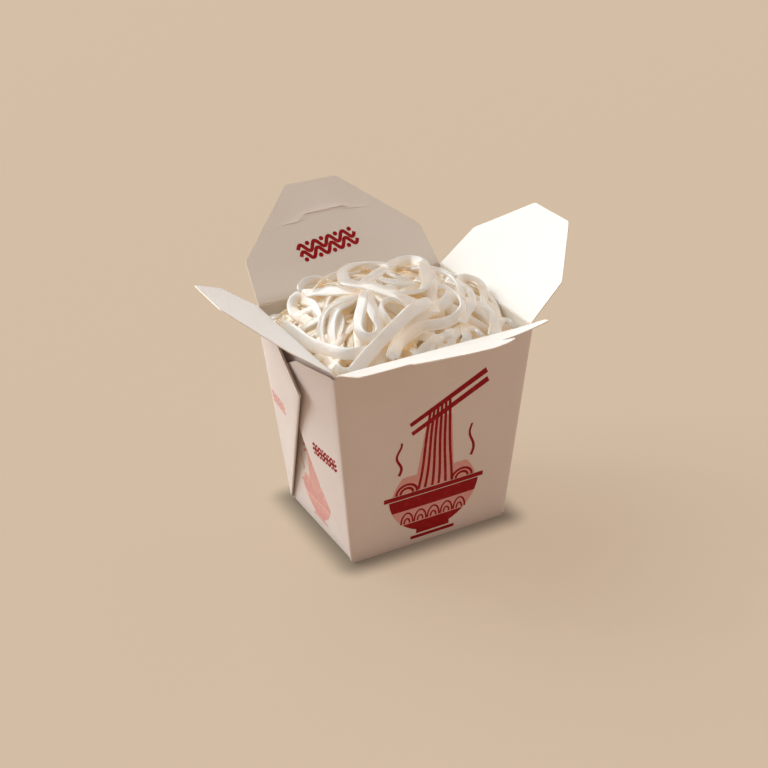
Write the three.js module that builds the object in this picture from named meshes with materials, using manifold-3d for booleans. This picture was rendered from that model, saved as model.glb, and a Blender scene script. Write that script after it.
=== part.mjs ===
// A folded paperboard takeaway pail, heaped with flat rice noodles, its four top flaps open.
// Millimetres. The front wall faces -Y, the walls with the folded webs face -X and +X, and
// +Z is up. The origin is the middle of the underside.

import * as THREE from "three";
import { mergeVertices } from "three/addons/utils/BufferGeometryUtils.js";
import Module from "manifold-3d";

const wasm = await Module();
wasm.setup();

const degrees = THREE.MathUtils.degToRad;
const lerp = THREE.MathUtils.lerp;
const clamp = THREE.MathUtils.clamp;

// ---------------------------------------------------------------- driving sizes

const BASE = { x: 82.5, y: 68 };
const TOP = { x: 101, y: 84 };
const HEIGHT = 106;
const BOARD = 0.5;
const CLEARANCE = 0.3;
const CORNER_INSET = 0.7;
const CORNER_ROUND = 1.2;

// Points this close are one point, and a cutting body reaches this far past what it cuts.
const SAME_POINT = 1e-4;
const OVERSHOOT = 1;

// Each corner of the pail is a web of board folded double and laid on the wall beside it.
// A web leaves the corner at swing and bows back to the wall by bow.
// Its outline runs up the diagonal fold to the tip, then down in two straight cuts to the
// rim: [distance from the corner, distance up the corner, rows of the mesh up to there].
const WEB = {
  outline: [[1, 1.5, 0], [56.5, 83.6, 6], [33, 98.5, 8], [4, 104, 9]],
  thickness: 1.5,
  sunk: 0.2,
  columns: 5,
};
const BACK_WEB = { swing: 0.124, bow: 0 };
const FRONT_WEB = { swing: 0.115, bow: 1 / 64 ** 2 };

// Half outlines of the flaps: distance from the middle, and distance from the crease.
const BACK_OUTLINE = [[TOP.x / 2 - CORNER_INSET, 0], [48, 22.7], [14, 58]];
const SIDE_OUTLINE = [[TOP.y / 2 - CORNER_INSET, 0], [39, 24], [14.5, 50.3]];
const FRONT_OUTLINE = [[TOP.x / 2 - CORNER_INSET, 0], [48, 20], [20, 22], [25.5, 27], [17, 34], [6, 40]];
const SLIT = { halfLength: 25, rise: 4, foot: 37, halfTop: 11, width: 0.5 };

// How far each flap stands above level, and which way its wall faces.
const FLAPS = [
  { name: "flap_back", facing: 0, reach: TOP.y / 2, tilt: 44, outline: BACK_OUTLINE, slit: true },
  { name: "flap_left", facing: 90, reach: TOP.x / 2, tilt: 37, outline: SIDE_OUTLINE },
  { name: "flap_front", facing: 180, reach: TOP.y / 2, tilt: 22, outline: FRONT_OUTLINE },
  { name: "flap_right", facing: -90, reach: TOP.x / 2, tilt: 41, outline: SIDE_OUTLINE },
];

// The heap: its level in the corners, and the crown that swells from there over a span.
const HEAP = { level: 93, crown: 29.5, midX: 3, midY: 5, spanX: 56, spanY: 49, power: 2.5, wallGap: 0.4 };
const CORE = { depth: 4.5, columns: 12, rows: 10, wallGap: 0.8 };
const NOODLE = {
  count: 30,
  spread: { x: 88, y: 74 },
  width: [6.0, 8.0],
  thickness: [2.1, 2.6],
  radius: [8, 19],
  stretch: [0.75, 1.7],
  sweep: [degrees(150), degrees(290)],
  spiral: [-0.25, 0.35],
  ripple: 1.8,
  rippleTurns: 5,
  climb: 2.6,
  roll: degrees(35),
  rollTurns: 4,
  edgeRound: 0.9,
  points: 8,
  steps: 11,
  edgeGap: 1.0,
};
// Steps of these shares of a rectangle's sides fill it evenly, whatever the count.
const EVEN_STEP = { x: 0.7549, y: 0.5698 };
const SEED = 26;

// ---------------------------------------------------------------- finishes

const boardFinish = (color) => new THREE.MeshStandardMaterial({ color, roughness: 0.8, metalness: 0 });
const FINISHES = {
  pail: boardFinish(0xdcc8b8),
  flap_back: boardFinish(0xe3d8cb),
  flap_left: boardFinish(0xebe3da),
  flap_front: boardFinish(0xebe5df),
  flap_right: boardFinish(0xf6f4f0),
  noodles: new THREE.MeshStandardMaterial({ color: 0xefe4d2, roughness: 0.3, metalness: 0 }),
};

// ---------------------------------------------------------------- solids

/** Turn a closed geometry into a solid that can be joined and cut. */
function toSolid(geometry) {
  const bare = geometry.clone();
  bare.deleteAttribute("normal");
  bare.deleteAttribute("uv");
  const merged = mergeVertices(bare, SAME_POINT);
  return new wasm.Manifold(new wasm.Mesh({
    numProp: 3,
    vertProperties: new Float32Array(merged.attributes.position.array),
    triVerts: new Uint32Array(merged.index.array),
  }));
}

/** Turn a solid back into a geometry. */
function toGeometry(solid) {
  const mesh = solid.getMesh();
  const geometry = new THREE.BufferGeometry();
  geometry.setAttribute("position", new THREE.BufferAttribute(mesh.vertProperties, 3));
  geometry.setIndex(new THREE.BufferAttribute(mesh.triVerts, 1));
  geometry.computeVertexNormals();
  return geometry;
}

/** Keep the one largest body: loose scraps go, and sealed hollows are filled. */
function largestBody(solid) {
  const bodies = solid.decompose();
  bodies.sort((first, second) => second.volume() - first.volume());
  return bodies[0];
}

/** Move every point of a geometry with a function of its old place. */
function reshape(geometry, place) {
  const position = geometry.attributes.position;
  const point = new THREE.Vector3();
  for (let index = 0; index < position.count; index += 1) {
    point.fromBufferAttribute(position, index);
    const moved = place(point);
    position.setXYZ(index, moved.x, moved.y, moved.z);
  }
  return geometry;
}

/** Half the pail's outside width or depth at a height, for axis "x" or "y". */
function halfOutside(axis, height) {
  return lerp(BASE[axis], TOP[axis], height / HEIGHT) / 2;
}

/** A block between two heights that follows the pail's slope, inset from its outside. */
function taperedBlock(low, high, inset) {
  return reshape(new THREE.BoxGeometry(2, 2, 2), ({ x, y, z }) => {
    const height = z < 0 ? low : high;
    return {
      x: x * (halfOutside("x", height) - inset),
      y: y * (halfOutside("y", height) - inset),
      z: height,
    };
  });
}

// ---------------------------------------------------------------- pail

/** One folded web: side and end are +1 or -1 and pick the wall (X) and the corner (Y). */
function foldedWeb(side, end, form) {
  const foot = new THREE.Vector3((side * BASE.x) / 2, (end * BASE.y) / 2, 0);
  const head = new THREE.Vector3((side * TOP.x) / 2, (end * TOP.y) / 2, HEIGHT);
  const edge = head.sub(foot).normalize();
  const across = new THREE.Vector3(0, -end, 0);
  across.addScaledVector(edge, -across.dot(edge)).normalize();
  const outward = new THREE.Vector3().crossVectors(across, edge).multiplyScalar(side * -end);

  const rows = WEB.outline.at(-1)[2];
  const leaf = new THREE.BoxGeometry(1, 1, 1, WEB.columns, rows, 1);
  leaf.translate(0.5, 0.5, 0.5);
  // the leaf's own X runs across the wall, which turns it over on two of the four corners
  const flipped = across.clone().cross(edge).dot(outward) < 0;
  return reshape(leaf, ({ x, y, z }) => {
    const row = y * rows;
    const next = Math.max(1, WEB.outline.findIndex(([, , last]) => last >= row - SAME_POINT));
    const [lowAcross, lowAlong, lowRow] = WEB.outline[next - 1];
    const [highAcross, highAlong, highRow] = WEB.outline[next];
    const part = (row - lowRow) / (highRow - lowRow);
    const reach = x * lerp(lowAcross, highAcross, part);
    const layer = flipped ? 1 - z : z;
    const stand = form.swing * reach * (1 - form.bow * reach ** 2) - WEB.sunk + WEB.thickness * layer;
    const place = foot.clone().addScaledVector(edge, lerp(lowAlong, highAlong, part));
    return place.addScaledVector(across, reach).addScaledVector(outward, stand);
  });
}

/** The pail: floor, four walls and the four folded webs, all one sheet of board. */
function buildPail() {
  const rim = HEIGHT - CLEARANCE;
  const outside = toSolid(taperedBlock(0, rim, 0));
  const inside = toSolid(taperedBlock(BOARD, rim + OVERSHOOT, BOARD));
  let pail = outside.subtract(inside);
  for (const side of [-1, 1]) {
    pail = pail.add(toSolid(foldedWeb(side, -1, FRONT_WEB)));
    pail = pail.add(toSolid(foldedWeb(side, 1, BACK_WEB)));
  }
  return toGeometry(largestBody(pail));
}

// ---------------------------------------------------------------- flaps

/** A closed outline from a half outline, its corners eased by a small radius. */
function flapShape(half) {
  const right = half.map(([across, out]) => new THREE.Vector2(across, out));
  const left = half.map(([across, out]) => new THREE.Vector2(-across, out)).reverse();
  const corners = [...right, ...left];
  const shape = new THREE.Shape();
  corners.forEach((corner, index) => {
    const before = corners[(index + corners.length - 1) % corners.length];
    const after = corners[(index + 1) % corners.length];
    const enter = before.clone().sub(corner).setLength(CORNER_ROUND).add(corner);
    const leave = after.clone().sub(corner).setLength(CORNER_ROUND).add(corner);
    if (index === 0) {
      shape.moveTo(enter.x, enter.y);
    } else {
      shape.lineTo(enter.x, enter.y);
    }
    shape.quadraticCurveTo(corner.x, corner.y, leave.x, leave.y);
  });
  shape.closePath();
  return shape;
}

/** The locking slit: a narrow bent slot that the front flap's tongue is pushed through. */
function slitPath() {
  const { halfLength, rise, foot, halfTop, width } = SLIT;
  const line = [
    [-halfLength, foot],
    [-halfTop - rise, foot],
    [-halfTop, foot + rise],
    [halfTop, foot + rise],
    [halfTop + rise, foot],
    [halfLength, foot],
  ];
  const path = new THREE.Path();
  line.forEach(([across, out], index) => (index ? path.lineTo(across, out) : path.moveTo(across, out)));
  line.reverse().forEach(([across, out]) => path.lineTo(across, out + width));
  path.closePath();
  return path;
}

/** One flap, flat in its own XY plane with its crease along X, standing on its crease line. */
function buildFlap({ name, facing, reach, tilt, outline, slit }) {
  const shape = flapShape(outline);
  if (slit) {
    shape.holes.push(slitPath());
  }
  const board = new THREE.ExtrudeGeometry(shape, { depth: BOARD, bevelEnabled: false, curveSegments: 3 });
  const flap = new THREE.Mesh(board, FINISHES[name]);
  flap.name = name;
  flap.position.set(0, reach + CLEARANCE, HEIGHT);
  flap.rotation.x = degrees(tilt);
  const wall = new THREE.Group();
  wall.rotation.z = degrees(facing);
  wall.add(flap);
  return wall;
}

// ---------------------------------------------------------------- noodles

/** A repeatable stream of numbers from 0 to 1. */
function seededRandom(seed) {
  let state = seed;
  return () => {
    state = (state + 0x6d2b79f5) | 0;
    let mix = Math.imul(state ^ (state >>> 15), 1 | state);
    mix = (mix + Math.imul(mix ^ (mix >>> 7), 61 | mix)) ^ mix;
    return ((mix ^ (mix >>> 14)) >>> 0) / 4294967296;
  };
}

const random = seededRandom(SEED);
const between = ([low, high]) => lerp(low, high, random());

/** Height of the heap's surface over a place in plan. */
function heapHeight(x, y) {
  const across = Math.min(Math.abs(x - HEAP.midX) / HEAP.spanX, 1);
  const deep = Math.min(Math.abs(y - HEAP.midY) / HEAP.spanY, 1);
  return HEAP.level + HEAP.crown * (1 - across ** HEAP.power) * (1 - deep ** HEAP.power);
}

/** The heap's body: it fills the pail and domes up just below the noodles on top. */
function heapCore() {
  const block = new THREE.BoxGeometry(2, 2, 1, CORE.columns, CORE.rows, 1);
  const floor = BOARD + CLEARANCE;
  return reshape(block, ({ x, y, z }) => {
    const inset = BOARD + CORE.wallGap;
    const surface = heapHeight(x * halfOutside("x", HEAP.level), y * halfOutside("y", HEAP.level));
    const height = z < 0 ? floor : surface - CORE.depth;
    const wall = Math.min(height, HEIGHT);
    return {
      x: x * (halfOutside("x", wall) - inset),
      y: y * (halfOutside("y", wall) - inset),
      z: height,
    };
  });
}

/** Keep a place in plan inside the walls at its height, clear of them by a margin. */
function keepInside(x, y, z, margin) {
  const wall = Math.min(z, HEIGHT);
  const limitX = halfOutside("x", wall) - BOARD - margin;
  const limitY = halfOutside("y", wall) - BOARD - margin;
  return { x: clamp(x, -limitX, limitX), y: clamp(y, -limitY, limitY) };
}

/** The direction that points straight out of the heap's surface over a place in plan. */
function heapOutward(x, y) {
  const slopeX = heapHeight(x + 1, y) - heapHeight(x - 1, y);
  const slopeY = heapHeight(x, y + 1) - heapHeight(x, y - 1);
  return new THREE.Vector3(-slopeX / 2, -slopeY / 2, 1).normalize();
}

/** A line for a ribbon that keeps its flat side to the heap, give or take a slow roll. */
class RibbonLine extends THREE.CatmullRomCurve3 {
  constructor(places, roll, phase) {
    super(places, false, "centripetal");
    this.roll = roll;
    this.phase = phase;
  }

  computeFrenetFrames(steps) {
    const frames = { tangents: [], normals: [], binormals: [] };
    for (let step = 0; step <= steps; step += 1) {
      const part = step / steps;
      const place = this.getPointAt(part);
      const tangent = this.getTangentAt(part);
      const side = heapOutward(place.x, place.y).cross(tangent).normalize();
      side.applyAxisAngle(tangent, this.roll * Math.sin(this.phase + NOODLE.rollTurns * part));
      frames.tangents.push(tangent);
      frames.normals.push(side.clone().cross(tangent));
      frames.binormals.push(side);
    }
    return frames;
  }
}

/** The line of one noodle: an open loop that lies on the heap and ripples over its neighbours. */
function noodleRoute(index, width) {
  const centreX = NOODLE.spread.x * (((index * EVEN_STEP.x) % 1) - 0.5);
  const centreY = NOODLE.spread.y * (((index * EVEN_STEP.y) % 1) - 0.5);
  const radius = between(NOODLE.radius);
  const stretch = between(NOODLE.stretch);
  const heading = random() * 2 * Math.PI;
  const sweep = between(NOODLE.sweep);
  const phase = random() * 2 * Math.PI;
  const spiral = between(NOODLE.spiral);
  const places = [];
  for (let step = 0; step < NOODLE.points; step += 1) {
    const part = step / (NOODLE.points - 1);
    const angle = sweep * (part - 0.5);
    const grow = radius * (1 + spiral * part);
    const alongLoop = grow * stretch * Math.sin(angle);
    const acrossLoop = grow * Math.cos(angle);
    const x = centreX + alongLoop * Math.cos(heading) - acrossLoop * Math.sin(heading);
    const y = centreY + alongLoop * Math.sin(heading) + acrossLoop * Math.cos(heading);
    const margin = width / 2 + NOODLE.edgeGap;
    const inside = keepInside(x, y, heapHeight(x, y), margin);
    const lift = NOODLE.ripple * Math.sin(phase + NOODLE.rippleTurns * part) + NOODLE.climb * (part - 0.5);
    places.push(new THREE.Vector3(inside.x, inside.y, heapHeight(inside.x, inside.y) + lift));
  }
  return new RibbonLine(places, NOODLE.roll, phase);
}

/** A noodle's cross-section: a flat ribbon with round edges, thin along X and wide along Y. */
function noodleSection(width, thickness) {
  const halfThin = thickness / 2;
  const halfWide = width / 2;
  const edge = halfThin * NOODLE.edgeRound;
  return new THREE.Shape([
    new THREE.Vector2(-halfThin, -halfWide + edge),
    new THREE.Vector2(0, -halfWide),
    new THREE.Vector2(halfThin, -halfWide + edge),
    new THREE.Vector2(halfThin, halfWide - edge),
    new THREE.Vector2(0, halfWide),
    new THREE.Vector2(-halfThin, halfWide - edge),
  ]);
}

/** One noodle on the heap. */
function buildNoodle(index) {
  const width = between(NOODLE.width);
  const thickness = between(NOODLE.thickness);
  return new THREE.ExtrudeGeometry(noodleSection(width, thickness), {
    steps: NOODLE.steps,
    extrudePath: noodleRoute(index, width),
  });
}

/** The heap of noodles: its core with the noodles that show, kept inside the pail. */
function buildNoodles() {
  const inset = BOARD + HEAP.wallGap;
  const room = toSolid(taperedBlock(BOARD, HEIGHT, inset));
  const above = new THREE.BoxGeometry(TOP.x - 2 * inset, TOP.y - 2 * inset, HEIGHT);
  above.translate(0, 0, HEIGHT + HEIGHT / 2 - OVERSHOOT);
  let heap = toSolid(heapCore());
  for (let index = 0; index < NOODLE.count; index += 1) {
    heap = heap.add(toSolid(buildNoodle(index)));
  }
  heap = heap.intersect(room.add(toSolid(above)));
  return toGeometry(largestBody(heap));
}

// ---------------------------------------------------------------- the whole

const group = new THREE.Group();

const pail = new THREE.Mesh(buildPail(), FINISHES.pail);
pail.name = "pail";
group.add(pail);

for (const flap of FLAPS) {
  group.add(buildFlap(flap));
}

const noodles = new THREE.Mesh(buildNoodles(), FINISHES.noodles);
noodles.name = "noodles";
group.add(noodles);

export default group;
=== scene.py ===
"""A folded paperboard takeaway pail heaped with flat rice noodles, its four top flaps open.

Sizes are millimetres in the frame of the solid model: the front wall faces -Y, the walls with the
folded webs face -X and +X, +Z is up, and the origin is the middle of the underside. Every piece is
brought to metres as it is finished.
"""

import logging
import math
import random
from collections.abc import Callable, Sequence
from dataclasses import dataclass
from enum import Enum

import bmesh
import bpy
import numpy as np
from mathutils import Matrix, Vector


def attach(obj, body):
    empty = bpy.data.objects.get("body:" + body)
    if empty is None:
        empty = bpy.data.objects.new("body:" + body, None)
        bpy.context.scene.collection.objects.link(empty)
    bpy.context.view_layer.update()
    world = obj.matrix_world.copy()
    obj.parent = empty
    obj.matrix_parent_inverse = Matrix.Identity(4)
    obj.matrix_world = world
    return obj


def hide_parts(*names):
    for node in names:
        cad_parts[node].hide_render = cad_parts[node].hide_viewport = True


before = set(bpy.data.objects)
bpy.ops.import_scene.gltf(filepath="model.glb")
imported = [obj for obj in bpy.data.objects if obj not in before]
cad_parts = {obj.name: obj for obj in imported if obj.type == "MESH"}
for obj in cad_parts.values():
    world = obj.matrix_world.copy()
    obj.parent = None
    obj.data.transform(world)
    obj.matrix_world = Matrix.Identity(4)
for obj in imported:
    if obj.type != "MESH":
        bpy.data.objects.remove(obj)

MM = 0.001
SHARP = math.radians(32)
SPAN_STEPS = 16
log = logging.getLogger("noodle_pail")

Flat = tuple[float, float]
Triple = tuple[float, float, float]
Rgb = Triple
BMesh = bmesh.types.BMesh
Material = bpy.types.Material
Piece = bpy.types.Object
Socket = bpy.types.NodeSocket


# ---------------------------------------------------------------- helpers


def mix(low: float, high: float, share: float) -> float:
    """The value a share of the way from low to high."""
    return low + (high - low) * share


def smooth_line(places: Sequence[Sequence[float]], spacing: float) -> np.ndarray:
    """Run a smooth curve through a few places and mark it off evenly.

    Args:
        places: The places, each with the same number of values.
        spacing: How far apart the marks are, measured on the first two values.

    Returns:
        One row for each mark.
    """
    knots = np.array(places, float)
    padded = np.vstack([2 * knots[0] - knots[1], knots, 2 * knots[-1] - knots[-2]])
    shares = np.linspace(0, 1, SPAN_STEPS, endpoint=False)[:, None]
    spans = []
    for before, start, end, after in zip(padded, padded[1:], padded[2:], padded[3:]):
        span = 2 * start + (end - before) * shares
        span = span + (2 * before - 5 * start + 4 * end - after) * shares**2
        span = span + (3 * start - 3 * end + after - before) * shares**3
        spans.append(0.5 * span)
    dense = np.vstack([*spans, knots[-1:]])
    steps = np.linalg.norm(np.diff(dense[:, :2], axis=0), axis=1)
    run = np.concatenate([[0], np.cumsum(steps)])
    marks = np.linspace(0, run[-1], max(3, round(run[-1] / spacing) + 1))
    return np.column_stack([np.interp(marks, run, column) for column in dense.T])


def unit_rows(rows: np.ndarray) -> np.ndarray:
    """Each row brought to a length of one."""
    return rows / np.maximum(np.linalg.norm(rows, axis=1), 1e-9)[:, None]


def merge_into(bm: BMesh, part: BMesh) -> None:
    """Add a part to a mesh, and use the part up."""
    carrier = bpy.data.meshes.new("part")
    part.to_mesh(carrier)
    part.free()
    bm.from_mesh(carrier)
    bpy.data.meshes.remove(carrier)


def cut_lines(bm: BMesh, normal: Vector, marks: Sequence[float]) -> None:
    """Cut a mesh by parallel planes, so that it can bend there.

    Args:
        bm: The mesh.
        normal: The direction that the planes face.
        marks: How far along it each plane stands from the origin.
    """
    for mark in marks:
        everything = [*bm.verts, *bm.edges, *bm.faces]
        bmesh.ops.bisect_plane(bm, geom=everything, plane_co=normal * mark, plane_no=normal)


def marks_between(low: float, high: float, spacing: float) -> list[float]:
    """Even marks strictly between two ends, about a spacing apart."""
    count = max(1, round((high - low) / spacing))
    return [mix(low, high, step / count) for step in range(1, count)]


def grid_sheet(
    bm: BMesh, columns: int, rows: int, place: Callable[[float, float], Vector]
) -> list[bmesh.types.BMVert]:
    """Lay a sheet of squares and bend it to a shape.

    Args:
        bm: The mesh it is added to.
        columns: Squares along the first share.
        rows: Squares along the second share.
        place: The place in space for two shares from 0 to 1.

    Returns:
        The sheet's corners.
    """
    made = bmesh.ops.create_grid(bm, x_segments=columns, y_segments=rows, size=0.5)
    for vert in made["verts"]:
        vert.co = place(vert.co.x + 0.5, vert.co.y + 0.5)
    return made["verts"]


def finish_piece(
    bm: BMesh,
    name: str,
    body: str,
    materials: Sequence[Material],
    replaced: Sequence[str] = (),
) -> Piece:
    """Turn a mesh in millimetres into a piece of the object.

    Args:
        bm: The mesh, which is used up.
        name: The piece's name.
        body: The body that it rides on.
        materials: Its materials, in the order of the faces' indices.
        replaced: The solids that it stands for.

    Returns:
        The new object.
    """
    bmesh.ops.scale(bm, vec=(MM, MM, MM), verts=bm.verts)
    bm.normal_update()
    for face in bm.faces:
        face.smooth = True
    for edge in bm.edges:
        if len(edge.link_faces) == 2 and edge.calc_face_angle() > SHARP:
            edge.smooth = False
    mesh = bpy.data.meshes.new(name)
    bm.to_mesh(mesh)
    bm.free()
    for material in materials:
        mesh.materials.append(material)
    piece = bpy.data.objects.new(name, mesh)
    bpy.context.scene.collection.objects.link(piece)
    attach(piece, body)
    if replaced:
        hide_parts(*replaced)
    log.info("%s: %d faces on %s", name, len(mesh.polygons), body)
    return piece


class Nodes:
    """A short way to write a material's nodes and join them."""

    def __init__(self, name: str) -> None:
        """Start a material with one principled shader."""
        self.material = bpy.data.materials.new(name)
        self.material.use_nodes = True
        self.tree = self.material.node_tree
        self.shader = self.tree.nodes["Principled BSDF"]

    def add(self, kind: str, **settings: object) -> bpy.types.Node:
        """Add a node.

        Args:
            kind: Its type.
            settings: The properties to set on it.

        Returns:
            The node.
        """
        node = self.tree.nodes.new(kind)
        for key, value in settings.items():
            setattr(node, key, value)
        return node

    def join(self, source: Socket, target: Socket) -> None:
        """Link an output to an input."""
        self.tree.links.new(source, target)

    def noise(self, scale: float, detail: float) -> Socket:
        """A cloudy value over the object.

        Args:
            scale: Clouds per metre.
            detail: How many finer layers it has.

        Returns:
            The value, about 0.5 in the middle.
        """
        place = self.add("ShaderNodeTexCoord")
        cloud = self.add("ShaderNodeTexNoise")
        cloud.inputs["Scale"].default_value = scale
        cloud.inputs["Detail"].default_value = detail
        self.join(place.outputs["Object"], cloud.inputs["Vector"])
        return cloud.outputs["Fac"]

    def attribute(self, name: str) -> Socket:
        """A value painted on the mesh."""
        return self.add("ShaderNodeAttribute", attribute_name=name).outputs["Fac"]

    def ramp(self, value: Socket, stops: Sequence[tuple[float, Rgb]]) -> Socket:
        """Turn a value into a colour.

        Args:
            value: The value.
            stops: Places on it and the colours there.

        Returns:
            The colour.
        """
        ramp = self.add("ShaderNodeValToRGB")
        band = ramp.color_ramp
        band.elements[0].position, band.elements[1].position = stops[0][0], stops[-1][0]
        for place, _ in stops[1:-1]:
            band.elements.new(place)
        for element, (_, colour) in zip(band.elements, stops):
            element.color = (*colour, 1)
        self.join(value, ramp.inputs["Fac"])
        return ramp.outputs["Color"]

    def blend(self, share: Socket | float, first: Socket, second: Socket) -> Socket:
        """Mix two colours.

        Args:
            share: How much of the second there is, as a value of the surface or one number.
            first: The first colour.
            second: The second colour.

        Returns:
            The mixed colour.
        """
        node = self.add("ShaderNodeMix", data_type="RGBA")
        if isinstance(share, float):
            node.inputs["Factor"].default_value = share
        else:
            self.join(share, node.inputs["Factor"])
        self.join(first, node.inputs["A"])
        self.join(second, node.inputs["B"])
        return node.outputs["Result"]

    def calculate(self, operation: str, value: Socket, other: float = 0.0) -> Socket:
        """Work a value out from another and a number.

        Args:
            operation: The Math node's operation.
            value: The value to start from.
            other: The number, for an operation that takes one.

        Returns:
            The result.
        """
        node = self.add("ShaderNodeMath", operation=operation)
        self.join(value, node.inputs[0])
        node.inputs[1].default_value = other
        return node.outputs["Value"]

    def bump(self, layers: Sequence[tuple[Socket, float]]) -> None:
        """Give the surface fine relief.

        Args:
            layers: Heights and how deep each is in metres.
        """
        before = None
        for height, depth in layers:
            bump = self.add("ShaderNodeBump")
            bump.inputs["Distance"].default_value = depth
            self.join(height, bump.inputs["Height"])
            if before is not None:
                self.join(before, bump.inputs["Normal"])
            before = bump.outputs["Normal"]
        self.join(before, self.shader.inputs["Normal"])


# ---------------------------------------------------------------- finishes


class Finish:
    """The look of a surface. Its material is made once and shared by every piece that wears it."""

    name: str

    def material(self) -> Material:
        """The finish's material."""
        return bpy.data.materials.get(self.name) or self.make()

    def make(self) -> Material:
        """Make the material, which each kind of finish does in its own way."""
        raise NotImplementedError


@dataclass(frozen=True)
class BoardFinish(Finish):
    """Coated paperboard: nearly white, faintly clouded, with a fine tooth."""

    name: str
    colour: Rgb
    shade: Rgb
    roughness: float = 0.62
    sheen: float = 0.3
    cloud: float = 45.0
    tooth: float = 1500.0
    tooth_shade: float = 0.955
    tooth_share: float = 0.45
    relief: float = 0.00006

    def make(self) -> Material:
        """Make the finish's material."""
        nodes = Nodes(self.name)
        cloudy = nodes.noise(self.cloud, 5.0)
        grain = nodes.noise(self.tooth, 2.0)
        darker = tuple(self.tooth_shade * part for part in self.colour)
        broad = nodes.ramp(cloudy, [(0.3, self.shade), (0.62, self.colour)])
        fine = nodes.ramp(grain, [(0.25, darker), (0.7, self.colour)])
        shader = nodes.shader.inputs
        nodes.join(nodes.blend(self.tooth_share, broad, fine), shader["Base Color"])
        shader["Roughness"].default_value = self.roughness
        shader["Specular IOR Level"].default_value = self.sheen
        nodes.bump([(grain, self.relief), (cloudy, self.relief * 4)])
        return nodes.material


@dataclass(frozen=True)
class InkFinish(Finish):
    """Ink printed on the board, a little uneven."""

    name: str
    colour: Rgb
    thin: Rgb
    roughness: float = 0.5
    sheen: float = 0.12
    patch: float = 420.0
    tooth: float = 1500.0
    relief: float = 0.00004

    def make(self) -> Material:
        """Make the finish's material."""
        nodes = Nodes(self.name)
        colour = nodes.ramp(nodes.noise(self.patch, 4.0), [(0.3, self.thin), (0.5, self.colour)])
        shader = nodes.shader.inputs
        nodes.join(colour, shader["Base Color"])
        shader["Roughness"].default_value = self.roughness
        shader["Specular IOR Level"].default_value = self.sheen
        nodes.bump([(nodes.noise(self.tooth, 2.0), self.relief)])
        return nodes.material


@dataclass(frozen=True)
class NoodleFinish(Finish):
    """Cooked rice noodle: wet, ivory and slightly see-through, with painted shade: warmer and less glowing
    where it lies deep between the strands.

    The light that soaks through the heap is painted on as a faint glow of its own, on top and deep down.
    """

    name: str
    pale: Rgb
    warm: Rgb
    # The deep colour is painted shade between the strands; the two glow colours below are painted light.
    deep: Rgb
    painted_glow: Rgb
    painted_glow_deep: Rgb
    roughness: float = 0.24
    see_through: float = 0.75
    reach: Rgb = (0.0060, 0.0048, 0.0034)
    wet: float = 0.5
    wet_roughness: float = 0.10
    cloud: float = 110.0
    deep_shade: float = 0.92
    dimples: tuple[Flat, ...] = ((240.0, 0.00025), (900.0, 0.00004))

    def make(self) -> Material:
        """Make the finish's material."""
        nodes = Nodes(self.name)
        depth = nodes.attribute("depth")
        cloudy = nodes.noise(self.cloud, 3.0)
        darker = tuple(self.deep_shade * part for part in self.deep)
        skin = nodes.ramp(cloudy, [(0.32, self.warm), (0.6, self.pale)])
        deep = nodes.ramp(cloudy, [(0.3, darker), (0.6, self.deep)])
        # Painted glow, standing in for light soaked through the heap: weaker and warmer with depth.
        painted_glow = nodes.ramp(depth, [(0.15, self.painted_glow), (0.85, self.painted_glow_deep)])
        nodes.shader.subsurface_method = "BURLEY"
        shader = nodes.shader.inputs
        # Painted shade: the colour turns warmer with depth between the strands.
        nodes.join(nodes.blend(depth, skin, deep), shader["Base Color"])
        nodes.join(painted_glow, shader["Emission Color"])
        shader["Emission Strength"].default_value = 1.0
        shader["Roughness"].default_value = self.roughness
        shader["Specular IOR Level"].default_value = 0.5
        shader["Subsurface Weight"].default_value = self.see_through
        shader["Subsurface Radius"].default_value = self.reach
        shader["Subsurface Scale"].default_value = 1.0
        shader["Coat Weight"].default_value = self.wet
        shader["Coat Roughness"].default_value = self.wet_roughness
        (broad, broad_depth), (fine, fine_depth) = self.dimples
        nodes.bump([(nodes.noise(broad, 3.0), broad_depth), (nodes.noise(fine, 2.0), fine_depth)])
        return nodes.material


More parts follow.
